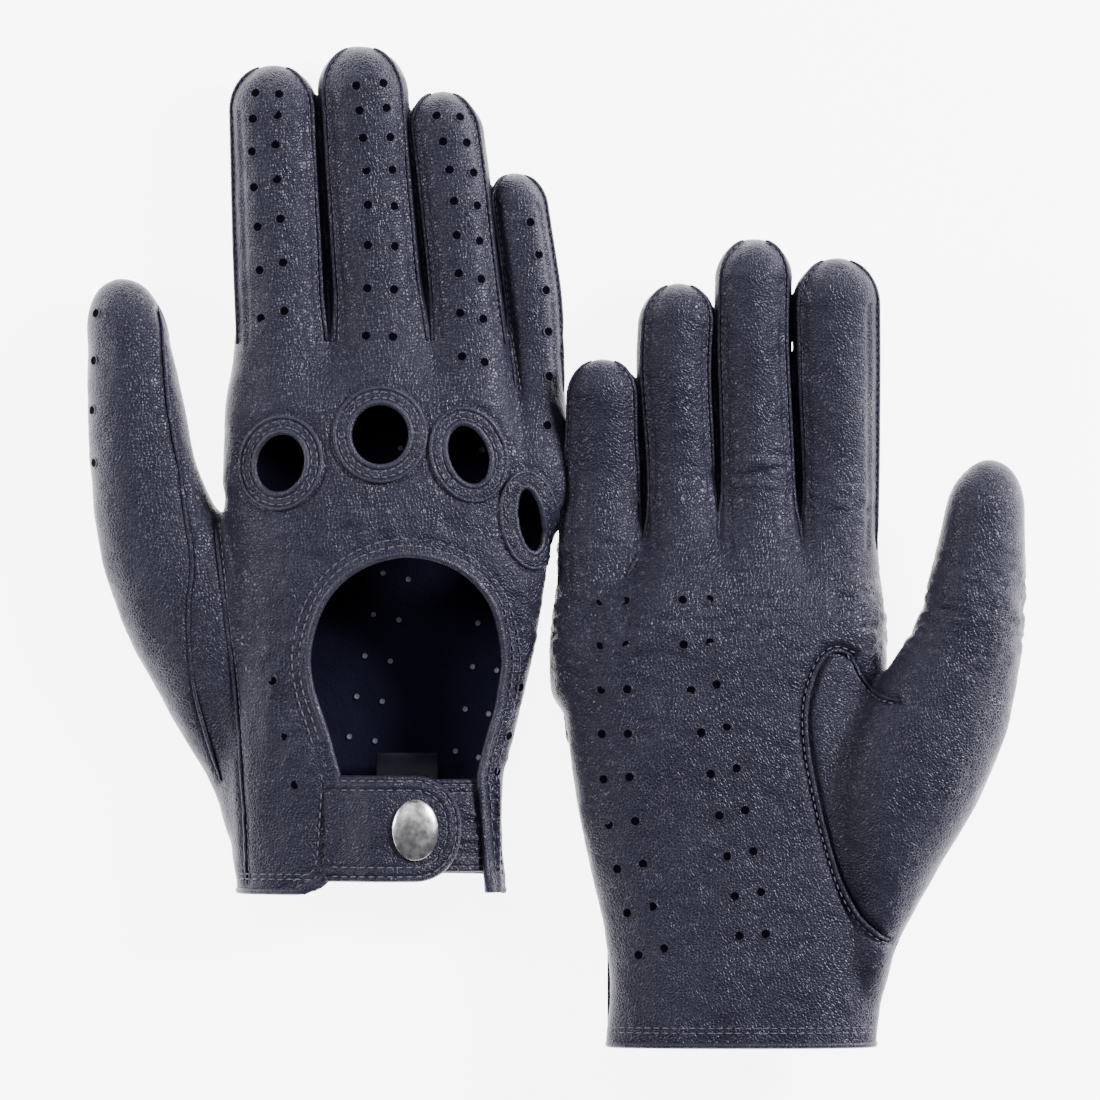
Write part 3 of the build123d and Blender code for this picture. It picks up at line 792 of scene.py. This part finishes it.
NAVY_DARK, NAVY_LIGHT = (0.0070, 0.0065, 0.0160), (0.0112, 0.0104, 0.0225)
MATERIALS = {
    "cover": leather("navy_leather", NAVY_DARK, NAVY_LIGHT),
    "palm": leather("navy_palm_leather", NAVY_DARK, NAVY_LIGHT, (0.36, 0.48), 1.1),
    "fourchette": leather(
        "navy_fourchette_leather", (0.0070, 0.0066, 0.0135), (0.0105, 0.0100, 0.0190), (0.46, 0.6), 0.6, 0.2,
    ),  # fmt: skip
    "binding": leather(
        "navy_binding_leather", (0.0125, 0.0118, 0.0225), (0.0190, 0.0180, 0.0330), (0.34, 0.48), 0.7, 0.42,
    ),  # fmt: skip
    "inside": leather(
        "navy_flesh_side", (0.0050, 0.0048, 0.0150), (0.0075, 0.0072, 0.0200), (0.85, 0.98), 0.8, 0.08,
    ),  # fmt: skip
    # The thread's colour is partly its own navy and partly painted highlight: it is lightened well above the
    # leather so the stitch rows read as bright.
    "thread": thread("navy_thread_painted_highlight", (0.045, 0.043, 0.070), (0.10, 0.096, 0.14)),
    # Painted shade for the floors of the punched holes.
    "dark": painted_hole_floor("painted_hole_shade"),
    # Painted daylight: the floors of the holes on the inside of the palm are coloured light, standing in for
    # light coming through the perforations.
    "day": thread("daylight_in_holes", (0.03, 0.03, 0.05), (0.16, 0.16, 0.21)),
    "silver": metal("antique_silver", (0.30, 0.29, 0.31), (0.74, 0.73, 0.75), 0.30),
    "nickel": metal("nickel_plate", (0.42, 0.40, 0.37), (0.62, 0.60, 0.56), 0.34),
    "ribbon": ribbon("woven_ribbon"),
}


# --- where each piece rides ---------------------------------------------------------------------------


def bend_line(glove, limb):
    """The y beyond which pieces are listed under a finger's or the thumb's own body."""
    return (glove["thumb_bend_y"] if limb == "thumb" else glove["bend_y"]) + 1.0


def attach(made, body):
    """The piece rides on its body when that is the hand or the strap; any other piece only has its transform
    baked into its mesh.
    """
    limb = body.split("_", 1)[1]
    if limb in ("hand", "strap"):
        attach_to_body(made, body)
        return
    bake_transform(made)


def split_at_bend(glove_name, glove, limb, *rows):
    """Cuts lines where their limb starts to bend: (body, lines) for the hand's part and the limb's."""
    y = bend_line(glove, limb)
    lower = rows[0][:, 1] <= y
    last = np.argmax(~lower) if (~lower).any() else len(lower)
    return (
        (f"{glove_name}_hand", [r[: last + 1] for r in rows]),
        (f"{glove_name}_{limb}", [r[max(last - 1, 0) :] for r in rows]),
    )


# --- the leather shell --------------------------------------------------------------------------------


def opening_outlines(glove):
    line = keyhole_line()
    keyhole = np.vstack([line, [(SLIT_RIGHT[0], -30), (SLIT_LEFT[0][0], -30)]])
    return [keyhole, *(knuckle_outline(glove, n) for n in KNUCKLES)]


def hem_height(form, p):
    """The y of the cuff's edge: on the palm-down glove the palm is cut a little shorter than the back."""
    middle, drop = (np.interp(p[:, 1], TABLE_Y, form.hand_rows[i]) for i in (2, 4))
    return (0.0 if form.glove["turned"] else 4.4) * smooth_step(0.15, 0.7, (middle - p[:, 2]) / drop)


def cut_openings(form, points, quads):
    """Snaps the mesh to each opening's edge and to the cuff, and removes what is inside it."""
    glove = form.glove
    normal = form.gradient(points)[1]
    middle = np.interp(points[:, 1], TABLE_Y, form.hand_rows[2])
    back = (normal[:, 2] > 0.08) & (points[:, 2] > middle)
    hem = hem_height(form, points)
    from_hem = points[:, 1] - hem
    removed = from_hem[quads].mean(axis=1) < 0
    edge = np.abs(from_hem) < 0.6 * VOXEL
    points[edge, 1] = hem[edge]
    for outline in opening_outlines(glove):
        low, high = outline.min(axis=0) - 2, outline.max(axis=0) + 2
        near = np.flatnonzero(back & (points[:, :2] > low).all(axis=1) & (points[:, :2] < high).all(axis=1))
        d = np.full(len(points), 1e3)
        d[near] = outline_distance(points[near, :2], outline)
        close = near[np.abs(d[near]) < 0.62 * VOXEL]
        moved = points[close].copy()
        nudge = 0.02
        slope = np.stack(
            [
                (outline_distance(moved[:, :2] + shift, outline) - d[close]) / nudge
                for shift in (np.array([nudge, 0]), np.array([0, nudge]))
            ],
            axis=1,
        )
        moved[:, :2] -= slope * d[close][:, None]
        for _ in range(3):
            value = form(moved.T)
            raised = moved + np.array([0, 0, 0.05])
            rate = (form(raised.T) - value) / 0.05
            moved[:, 2] -= np.clip(value / np.where(np.abs(rate) < 0.2, 0.2, rate), -1, 1)
        points[close] = moved
        d[close] = 0.0
        middle_distance = d[quads].mean(axis=1)
        removed |= (middle_distance < -0.05) & back[quads].all(axis=1)
    return points, quads[~removed]


def classify(form, centre, normal):
    """The CAD node that each quad belongs to."""
    glove = form.glove
    q = centre.T
    values = {name: form.tube(name, q) for name in (*FINGERS, "thumb")}
    hand = form.hand(q)
    x, y, z = q
    middle = np.interp(y, TABLE_Y, form.hand_rows[2])
    seam = spline(BACK_SIDE_SEAM, 1.0)[::-1]
    side_x = np.interp(y, seam[:, 1], seam[:, 0])
    node = np.where((z > middle) & ((x > side_x) | (y > 89)), "back_panel", "palm_panel").astype("U32")
    stack = np.stack([values[n] for n in FINGERS])
    nearest = np.argmin(stack, axis=0)
    out = y > bend_line(glove, "index")
    for i, name in enumerate(FINGERS):
        mine = out & (nearest == i) & (x > -46)
        centre_x, width = form.tubes[name][:2]
        ratio = (x - np.interp(y, TABLE_Y, centre_x)) / np.interp(y, TABLE_Y, width)
        shoulder = form.tubes[name][5]
        node[mine] = f"{name}_finger"
        for strip, side in FOURCHETTES[name].items():
            node[mine & (ratio * side > SEAM_RATIO) & (y < shoulder + 4)] = strip
    thumb = (values["thumb"] < np.minimum(hand, stack.min(axis=0))) & (x < -14)
    node[thumb & (y <= bend_line(glove, "thumb"))] = "thumb_base"
    node[thumb & (y > bend_line(glove, "thumb"))] = "thumb_tip"
    lean = np.abs((x + 33.0) + (y - 88.5)) + np.abs((x + 33.0) - (y - 88.5))
    node[(lean < 9.0) & (normal[:, 2] < -0.1) & ~thumb] = "thumb_gusset"
    return node


FOURCHETTES = {
    "index": {"index_fourchette": 1},
    "middle": {"middle_fourchette_outer": -1, "middle_fourchette_inner": 1},
    "ring": {"ring_fourchette_outer": -1, "ring_fourchette_inner": 1},
    "little": {"little_fourchette": -1},
}
PALM_NODES = ("palm_panel", "thumb_base", "thumb_tip", "thumb_gusset")


def limb_of(node):
    for limb in (*FINGERS, "thumb"):
        if node.startswith(limb) and not node.endswith("base") and not node.endswith("gusset"):
            return limb
    return "hand"


def leather_shell(glove_name, glove, form):
    points, quads = surface_net(form, (-73, -6, -8), (50, 208, 34), VOXEL)
    for _ in range(3):
        points, _ = form.settle(0.5 * points + 0.5 * neighbours_average(points, quads), 2)
    points, quads = cut_openings(form, points, quads)
    used = np.unique(quads)
    renumber = np.full(len(points), -1)
    renumber[used] = np.arange(len(used))
    points, quads = points[used], renumber[quads]
    base_normal = form.gradient(points)[1]
    turned = glove["turned"]
    depth = seam_relief(form, points, base_normal, turned) + finger_relief(form, points)
    depth += wrinkles(glove, points, base_normal, turned)
    outer = points + base_normal * depth[:, None]
    inner = points - base_normal * (LEATHER - 0.15)
    normal = vertex_normals(outer, quads)
    centre, centre_normal = points[quads].mean(axis=1), base_normal[quads].mean(axis=1)
    nodes = classify(form, centre, centre_normal)
    rims = boundary_edges(quads)
    rim_owner = nodes[rims[:, 2]]
    count = len(outer)
    for node in np.unique(nodes):
        mine = quads[nodes == node]
        rim = rims[rim_owner == node][:, :2]
        rim_faces = np.column_stack([rim[:, 1], rim[:, 0], rim[:, 0] + count, rim[:, 1] + count])
        faces = np.vstack([mine, mine[:, ::-1] + count, rim_faces])
        kinds = np.repeat([0, 1, 0], [len(mine), len(mine), len(rim_faces)])
        here = np.unique(faces)
        local = np.full(2 * count, -1)
        local[here] = np.arange(len(here))
        all_points = np.vstack([outer, inner])[here]
        all_normals = turn_to_world(glove, np.vstack([normal, -base_normal])[here])
        cover = "palm" if node in PALM_NODES else "fourchette" if "fourchette" in node else "cover"
        made = make_object(
            f"{glove_name}_{node}_leather", to_world(glove, all_points), local[faces],
            [MATERIALS[cover], MATERIALS["inside"]], kinds, all_normals,
        )  # fmt: skip
        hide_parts(f"{glove_name}_{node}")
        attach(made, f"{glove_name}_{limb_of(node)}")


def boundary_edges(quads):
    """Rows (from, to, quad) for each edge that only one quad uses."""
    a = quads.reshape(-1)
    b = np.roll(quads, -1, axis=1).reshape(-1)
    owner = np.repeat(np.arange(len(quads)), 4)
    key = np.minimum(a, b) * (a.max() + 1) + np.maximum(a, b)
    _, first, count = np.unique(key, return_index=True, return_counts=True)
    single = first[count == 1]
    return np.column_stack([a[single], b[single], owner[single]])


def finger_relief(form, p):
    """Valleys on both sides of each finger's seams."""
    depth = np.zeros(len(p))
    glove = form.glove
    for name in FINGERS:
        centre_x, width = form.tubes[name][:2]
        cx, w = np.interp(p[:, 1], TABLE_Y, centre_x), np.interp(p[:, 1], TABLE_Y, width)
        start = glove["bend_y"] - (2.0 if name != "little" else 13.0)
        along = smooth_step(start - 2, start + 2, p[:, 1]) * (p[:, 1] < form.tubes[name][5])
        on = np.abs(p[:, 0] - cx) < w + 0.5
        edge = np.abs(p[:, 0] - cx) - w * SEAM_RATIO
        depth -= on * along * (0.4 * bump(edge + 1.1, 0.55) + 0.1 * bump(edge - 1.0, 0.6))
    return depth


# --- seams, stitches and holes ------------------------------------------------------------------------


def add_seams(glove_name, glove, form):
    cords, threads = Trim(), Trim()
    hand = f"{glove_name}_hand"
    for name in FINGERS:
        for side_x in (-1, 1):
            for side_z in (-1, 1):
                line, normals = finger_seam(form, name, side_x, side_z)
                for body, (part, up) in split_at_bend(glove_name, glove, name, line, normals):
                    cords.tube(body, part, up, 0.55, 0.5, rise=0.12)
                inner_x = line.copy()
                inner_x[:, 0] -= side_x * 1.25
                row, up = form.settle(inner_x, 3)
                for body, (part, part_up) in split_at_bend(glove_name, glove, name, row, up):
                    if len(part) > 4:
                        threads.stitches(body, part, part_up, 1.9, 0.62, 0.15, -0.12)
    for line, side, width in ((PALM_THUMB_SEAM, -1, 0.6), (QUIRK_SEAM, -1, 0.5), (BACK_SIDE_SEAM, 1, 0.5)):
        plan = spline(line, 1.0)
        beside, up_beside = form.lift(outset(plan, 0.9), side)
        plan_points, up = form.lift(plan, side)
        cords.tube(hand, plan_points - up * 0.35, up, width, width)
        threads.stitches(hand, beside, up_beside, 2.0, 0.66, 0.16, -0.1)
    seam = thumb_seam(form)[::-1]
    up = form.gradient(seam)[1]
    for body, (part, part_up) in split_at_bend(glove_name, glove, "thumb", seam - up * 0.3, up):
        cords.tube(body, part, part_up, 0.5, 0.5)
    made = [cords.build("seam_ridges", glove_name, glove, [MATERIALS["cover"]])]
    made.append(threads.build("seam_stitches", glove_name, glove, [MATERIALS["thread"]]))
    for group in made:
        for body, piece in group.items():
            attach(piece, body)


def opening_edges(glove_name, glove, form):
    """The rolled lips of the openings, with their rows of stitches."""
    hand = f"{glove_name}_hand"
    plan = keyhole_line()
    plan = respaced(plan[plan[:, 1] > -0.4], 0.9)
    lips, rows = {"opening_binding": Trim()}, Trim()
    points, up = form.lift(outset(plan, 0.55), 1)
    lips["opening_binding"].tube(hand, points - up * 0.25, up, 0.95, 0.85, sides=14)
    for offset in (2.5, 4.2):
        row, row_up = form.lift(outset(plan, offset), 1)
        rows.stitches(hand, row - row_up * 0.12, row_up, 2.3, 0.8, 0.2)
    for name in KNUCKLES:
        lip = lips.setdefault(f"{name}_knuckle_binding", Trim())
        points, up = form.lift(knuckle_outline(glove, name, 0.45), 1)
        lip.tube(hand, points - up * 0.1, up, 0.75, 0.75, closed=True, sides=14)
        for offset, rise in ((1.5, 0.1), (2.9, 0.12)):
            ring = knuckle_outline(glove, name, offset)
            ring = respaced(np.vstack([ring, ring[:1]]), 0.8)
            row, row_up = form.lift(ring, 1)
            rows.stitches(hand, row + row_up * rise, row_up, 2.1, 0.72, 0.18)
        outer, outer_up = form.lift(knuckle_outline(glove, name, 3.9), 1)
        ripple = 0.12 * np.sin(np.arange(len(outer)) * 2.3)[:, None]
        lip.tube(hand, outer + outer_up * (ripple + 0.1), outer_up, 0.5, 0.45, closed=True)
    for node, lip in lips.items():
        for piece in lip.build(f"{node}_lip", glove_name, glove, [MATERIALS["binding"]]).values():
            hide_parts(f"{glove_name}_{node}")
            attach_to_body(piece, hand)
    for piece in rows.build("opening_stitches", glove_name, glove, [MATERIALS["thread"]]).values():
        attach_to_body(piece, hand)


def cuff_ring(form, y, start, end, count=190):
    """A line round the cuff at one y, between two angles."""
    left, right, middle, rise, drop = (np.interp(y, TABLE_Y, t) for t in form.hand_rows)
    turn = np.linspace(start, end, count)
    x = (left + right) / 2 + (right - left) / 2 * np.cos(turn)
    z = middle + np.where(np.sin(turn) > 0, rise, drop) * np.sin(turn)
    points = np.column_stack([x, np.full(count, y), z])
    for _ in range(6):
        points[:, 1] = y + hem_height(form, points)
        value, normal, length = form.gradient(points)
        flat = normal * np.array([1, 0, 1])
        points = points - flat * np.clip(value / length, -1, 1)[:, None]
    return points, form.gradient(points)[1]


def cuff_edge(glove_name, glove, form):
    hand = f"{glove_name}_hand"
    edge, rows = Trim(), Trim()
    start, end = radians(117), radians(371)
    points, up = cuff_ring(form, 0.45, start, end)
    edge.tube(hand, points - up * 0.3, up, 0.8, 0.85, sides=14)
    for y in (3.4, 4.6):
        row, row_up = cuff_ring(form, y, start, end)
        rows.stitches(hand, row, row_up, 2.2, 0.76, 0.18, 0.05)
    for piece in edge.build("cuff_binding_roll", glove_name, glove, [MATERIALS["binding"]]).values():
        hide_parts(f"{glove_name}_cuff_binding")
        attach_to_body(piece, hand)
    for piece in rows.build("cuff_stitches", glove_name, glove, [MATERIALS["thread"]]).values():
        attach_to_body(piece, hand)


def perforations(path, count, first, last, gap, lag):
    """Plan points of one row of perforations."""
    line = spline(path, 0.2)
    marks = np.concatenate([[0.0], np.cumsum(np.linspace(first, last, count - 1))])
    sides = (-1, 1) if gap else (0,)
    spots = []
    for mark in marks:
        for side in sides:
            place = np.clip((mark + max(side, 0) * lag) / 0.2, 0, len(line) - 2)
            i = int(place)
            along = (line[i + 1] - line[i]) / np.linalg.norm(line[i + 1] - line[i])
            spots.append(line[i] + side * gap / 2 * np.array([-along[1], along[0]]))
    return np.array(spots)


def add_holes(glove_name, glove, form):
    holes, inner = Trim(), Trim()
    shift = glove["bend_y"] - GLOVES["glove1"]["bend_y"]
    for rows, side in ((BACK_ROWS, 1), (PALM_ROWS, -1)):
        xy = np.vstack([perforations(*row) for row in rows])
        if side == 1:
            xy[:, 1] += shift * smooth_step(60, 110, xy[:, 1])
        points, up = form.lift(xy, side)
        good = (up[:, 2] * side > 0.15) & (np.linalg.norm(points[:, :2] - xy, axis=1) < 0.8)
        for point, normal in zip(points[good], up[good]):
            limb = "hand"
            if point[1] > bend_line(glove, "index") and point[0] > -46:
                limb = FINGERS[int(np.argmin([form.tube(n, point) for n in FINGERS]))]
            elif point[0] < -46 and point[1] > bend_line(glove, "thumb"):
                limb = "thumb"
            depth = wrinkles(glove, point[None], normal[None], glove["turned"])[0]
            holes.hole(f"{glove_name}_{limb}", point + normal * (depth + 0.03), normal)
            if side == -1:
                inner.hole(f"{glove_name}_hand", point - normal * (LEATHER + 0.02), -normal, 0.75)
    for group in (
        holes.build("perforations", glove_name, glove, [MATERIALS["cover"], MATERIALS["dark"]], True),
        inner.build("perforations_inside", glove_name, glove, [MATERIALS["inside"], MATERIALS["day"]], True),
    ):
        for body, piece in group.items():
            attach(piece, body)


# --- strap, snap and label ----------------------------------------------------------------------------


def patch(outline_half, xs, rows, height, thickness):
    """A closed slab of leather over a plan: its rows run across it, and its ends close up."""
    top, bottom = [], []
    for x in xs:
        low, high = outline_half(x)
        for v in np.linspace(-1, 1, rows):
            eased = sin(v * pi / 2)
            y = (low + high) / 2 + (high - low) / 2 * eased
            z = height(x, y)
            top.append((x, y, z + thickness(x, y)))
            bottom.append((x, y, z))
    count, across = len(xs), rows
    total = count * across
    faces = []
    for i in range(count - 1):
        for k in range(across - 1):
            a, b, c, d = i * across + k, (i + 1) * across + k, (i + 1) * across + k + 1, i * across + k + 1
            faces.append([a, b, c, d])
            faces.append([d + total, c + total, b + total, a + total])
    loop = [i * across for i in range(count)] + [(count - 1) * across + k for k in range(1, across)]
    loop += [i * across + across - 1 for i in range(count - 2, -1, -1)]
    loop += list(range(across - 2, 0, -1))
    for a, b in zip(loop, loop[1:] + loop[:1]):
        faces.append([a, a + total, b + total, b])
    return np.array(top + bottom), faces


def strap_span(x):
    middle, half = (STRAP["low"] + STRAP["high"]) / 2, (STRAP["high"] - STRAP["low"]) / 2
    over = max(0.0, (x - (STRAP["end"] - STRAP["nose"])) / STRAP["nose"])
    half *= max(1 - over**STRAP_POWER, 0.0) ** (1 / STRAP_POWER)
    return middle - half, middle + half


def strap_edge_distance(x, y):
    middle, half = (STRAP["low"] + STRAP["high"]) / 2, (STRAP["high"] - STRAP["low"]) / 2
    over = max(0.0, (x - (STRAP["end"] - STRAP["nose"])) / STRAP["nose"])
    f = (over**STRAP_POWER + abs((y - middle) / half) ** STRAP_POWER) ** (1 / STRAP_POWER)
    return max((1 - f) * (STRAP["nose"] if over > 0 else half), 0.0)


def wrist_height(form, x):
    """Height of the back of the wrist at the strap, smooth across the slit."""
    return np.interp(x, *form.wrist_table)


def strap_base(form, x):
    """The strap comes out from under the flap and rides up over the snap."""
    return wrist_height(form, x) - 1.6 + 4.0 * smooth_step(STRAP["root"] + 1.0, 4.0, x)


def bend_strap(made):
    """Bakes the strap piece's transform into its mesh."""
    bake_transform(made)


def strap_row(inset):
    """Plan points of a row of stitches along the strap, this far inside its edge."""
    middle, half = (STRAP["low"] + STRAP["high"]) / 2, (STRAP["high"] - STRAP["low"]) / 2
    nose_x = STRAP["end"] - STRAP["nose"]
    straight = np.linspace(-8.5, nose_x, 30)
    line = [(x, STRAP["low"] + inset) for x in straight]
    for turn in np.linspace(-pi / 2, pi / 2, 50)[1:-1]:
        across = abs(cos(turn)) ** (2 / STRAP_POWER)
        along = abs(sin(turn)) ** (2 / STRAP_POWER) * (1 if turn > 0 else -1)
        line.append((nose_x + (STRAP["nose"] - inset) * across, middle + (half - inset) * along))
    line += [(x, STRAP["high"] - inset) for x in straight[::-1]]
    return respaced(np.array(line), 0.8)


def add_strap(glove_name, glove, form):
    strap = f"{glove_name}_strap"
    xs = STRAP["root"] + (STRAP["end"] - STRAP["root"] - 0.02) * np.sin(np.linspace(0, pi / 2, 90))

    def layer(low, thick, puff):
        def height(x, y):
            return strap_base(form, x) + low

        def thickness(x, y):
            e = strap_edge_distance(x, y)
            rounded = np.sqrt(1 - (1 - min(e / 0.7, 1)) ** 2)
            rows = 0.28 * bump(e - 1.3, 0.32) + 0.24 * bump(e - 3.5, 0.32)
            crease = 0.18 * noise.noise(Vector((x * 0.35, y * 0.12, 2.0)))
            crease += 0.08 * noise.noise(Vector((x, y, 5.0)))
            relief = 0.25 * bump(e - 2.3, 0.8) - rows + crease * min(e / 2, 1)
            return thick * (0.25 + 0.75 * rounded) + puff * relief

        return height, thickness

    for node, material, slot, low, thick, puff in (
        ("strap_lining", "inside", "lining_leather", 0.0, 1.0, 0.0),
        ("strap", "cover", "back_leather", 1.0, 1.3, 1.0),
    ):  # fmt: skip
        points, faces = patch(strap_span, xs, 54, *layer(low, thick, puff))
        name = f"{glove_name}_{node}_leather"
        made = make_object(name, to_world(glove, points), faces, [MATERIALS[material]])
        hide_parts(f"{glove_name}_{node}")
        bend_strap(made)
    rows = Trim()
    for inset in (1.3, 3.5):
        plan = strap_row(inset)
        z = np.array([strap_base(form, x) + 2.2 for x, _ in plan])
        up = np.tile([0.0, 0.0, 1.0], (len(plan), 1))
        rows.stitches(strap, np.column_stack([plan, z]), up, 2.3, 0.8, 0.21, 0.1)
    for piece in rows.build("stitches", glove_name, glove, [MATERIALS["thread"]]).values():
        bend_strap(piece)
    add_under_tab(glove_name, glove, form)
    add_snap(glove_name, glove, form)


def add_under_tab(glove_name, glove, form):
    hand = f"{glove_name}_hand"
    low_y, high_y = TAB

    def height(x, y):
        crease = 0.5 * noise.noise(Vector((x * 0.16, y * 0.5, 8.0)))
        crease += 0.25 * noise.noise(Vector((x * 0.5, y * 0.9, 3.0)))
        return wrist_height(form, x) - 2.4 + crease * min((y - low_y) / 3, (high_y - y) / 3, 1)

    def thickness(x, y):
        e = min(y - low_y, high_y - y)
        rounded = np.sqrt(1 - (1 - min(e / 0.7, 1)) ** 2)
        return LEATHER * (0.3 + 0.7 * rounded) - 0.22 * bump(e - 1.4, 0.35) - 0.2 * bump(e - 3.4, 0.35)

    points, faces = patch(lambda x: (low_y, high_y), np.linspace(2.2, 31.0, 70), 60, height, thickness)
    name = f"{glove_name}_under_tab_leather"
    made = make_object(name, to_world(glove, points), faces, [MATERIALS["cover"]])
    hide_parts(f"{glove_name}_under_tab")
    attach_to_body(made, hand)
    rows = Trim()
    for y in (low_y + 1.4, low_y + 3.4, high_y - 1.4, high_y - 3.4):
        xs = np.arange(3.0, 30.5, 0.8)
        z = [height(x, y) + thickness(x, y) for x in xs]
        up = np.tile([0.0, 0.0, 1.0], (len(xs), 1))
        rows.stitches(hand, np.column_stack([xs, np.full(len(xs), y), z]), up, 2.2, 0.76, 0.2, 0.1)
    for piece in rows.build("under_tab_stitches", glove_name, glove, [MATERIALS["thread"]]).values():
        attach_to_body(piece, hand)


def turned_piece(profile, centre, tilt, narrow=1.0, sides=72):
    """A round or oval piece about the snap's axis from (radius, height) points, leaning along x."""
    profile = np.array(profile, float)
    points = []
    a = np.array([1.0, 0.0, tilt])
    a /= np.linalg.norm(a)
    b = np.array([0.0, 1.0, 0.0])
    n = np.cross(a, b)
    for r, h in profile:
        for k in range(sides):
            angle = 2 * pi * k / sides
            points.append(centre + r * (narrow * cos(angle) * a + sin(angle) * b) + h * n)
    faces = []
    for i in range(len(profile) - 1):
        for k in range(sides):
            m = (k + 1) % sides
            faces.append([i * sides + k, i * sides + m, (i + 1) * sides + m, (i + 1) * sides + k])
    return np.array(points), faces


def add_snap(glove_name, glove, form):
    x, y = SNAP
    tilt = (wrist_height(form, x + 1) - wrist_height(form, x - 1)) / 2
    base = np.array([x, y, strap_base(form, x)])
    cap_foot = 2.15
    dome = [(0.01, -0.2), (6.9, -0.2), (7.35, 0.0), (7.45, 0.25), (7.35, 0.55)]
    for turn in np.linspace(0.32, pi / 2, 16):
        dome.append((max(7.7 * cos(turn), 0.01), 0.2 + 1.9 * sin(turn)))
    pieces = {
        "snap_cap": ("silver", "antique_silver", [(r, h + cap_foot) for r, h in dome], "strap"),
        "snap_socket": (
            "nickel", "snap_brass",
            [
                (2.0, -0.4), (5.0, -0.4), (5.2, -0.7), (5.1, -1.6), (4.6, -2.0), (3.5, -2.0), (3.2, -1.6),
                (3.2, -0.9), (1.6, -0.9), (1.6, -0.4),
            ],
            "strap",
        ),
        "snap_stud": (
            "nickel", "snap_brass",
            [
                (0.01, -1.25), (1.5, -1.25), (2.1, -1.45), (2.2, -1.75), (1.9, -2.1), (2.6, -2.3),
                (2.7, -2.6), (1.3, -2.7),
            ],
            "hand",
        ),
        "snap_post": (
            "nickel", "snap_brass",
            [(0.01, -5.6), (4.4, -5.6), (4.8, -5.4), (4.7, -5.1), (1.3, -5.0), (1.2, -4.6), (1.1, -2.8)],
            "hand",
        ),
    }  # fmt: skip
    for node, (material, slot, profile, rides) in pieces.items():
        points, faces = turned_piece(profile, base, tilt, CAP_OVAL if node == "snap_cap" else 1.0)
        name = f"{glove_name}_{node}_metal"
        made = make_object(name, to_world(glove, points), faces, [MATERIALS[material]])
        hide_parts(f"{glove_name}_{node}")
        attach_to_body(made, f"{glove_name}_{rides}")


def add_label(glove_name, glove, form):
    hand = f"{glove_name}_hand"
    palm = form.lift(np.array([[8.5, 26.0]]), -1)[0][0][2]

    def height(x, y):
        return palm + LEATHER + 0.25 + 5.5 * smooth_step(22.0, 33.0, y) + 0.25 * sin(x * 0.5)

    points, faces = patch(lambda x: (20.0, 33.4), np.linspace(1.0, 16.0, 40), 36, height, lambda x, y: 0.35)
    name = f"{glove_name}_size_label_ribbon"
    made = make_object(name, to_world(glove, points), faces, [MATERIALS["ribbon"]])
    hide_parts(f"{glove_name}_size_label")
    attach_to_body(made, hand)


# --- stage --------------------------------------------------------------------------------------------


def add_stage():
    bpy.ops.mesh.primitive_plane_add(size=6, location=(0, 0, -0.0005))
    floor = bpy.context.object
    floor.name = "paper_floor"
    paper = Surface("white_paper", (0.93, 0.93, 0.94), 0.9)
    paper.bump(paper.noise(300, 2.0), 0.0001, 0.2)
    paper.shader.inputs["Emission Color"].default_value = (1, 1, 1, 1)
    paper.shader.inputs["Emission Strength"].default_value = 6.5
    floor.data.materials.append(paper.material)
    world = bpy.data.worlds.new("studio")
    bpy.context.scene.world = world
    world.use_nodes = True
    world.node_tree.nodes["Background"].inputs["Color"].default_value = (1, 1, 1, 1)
    world.node_tree.nodes["Background"].inputs["Strength"].default_value = 0.2
    for name, place, aim, size, power in (
        ("key_softbox", (0.85, 0.35, 0.55), (0, 0, 0), 0.25, 26.0),
        ("side_softbox", (-0.85, 0.2, 0.5), (0, 0, 0), 0.25, 9.0),
        ("top_softbox", (-0.1, 0.5, 1.1), (0, 0, 0), 0.5, 4.0),
    ):
        light = bpy.data.lights.new(name, "AREA")
        light.shape = "SQUARE"
        light.size = size
        light.energy = power
        lamp = bpy.data.objects.new(name, light)
        lamp.location = place
        lamp.rotation_euler = (Vector(aim) - Vector(place)).to_track_quat("-Z", "Y").to_euler()
        bpy.context.scene.collection.objects.link(lamp)
    lens = bpy.data.cameras.new("photo_camera")
    lens.sensor_width = 36
    lens.lens = 272
    lens.clip_end = 20
    camera = bpy.data.objects.new("photo_camera", lens)
    camera.location = (-0.0014, -0.0012, 2.015)
    bpy.context.scene.collection.objects.link(camera)
    bpy.context.scene.camera = camera


def main():
    for glove_name, glove in GLOVES.items():
        form = Form(glove)
        xs = np.linspace(-26, 28, 28)
        wrist = form.lift(np.column_stack([xs, np.full(len(xs), 16.0)]), 1)[0]
        form.wrist_table = (xs, wrist[:, 2])
        leather_shell(glove_name, glove, form)
        add_seams(glove_name, glove, form)
        opening_edges(glove_name, glove, form)
        cuff_edge(glove_name, glove, form)
        add_holes(glove_name, glove, form)
        add_strap(glove_name, glove, form)
        add_label(glove_name, glove, form)
    add_stage()


main()
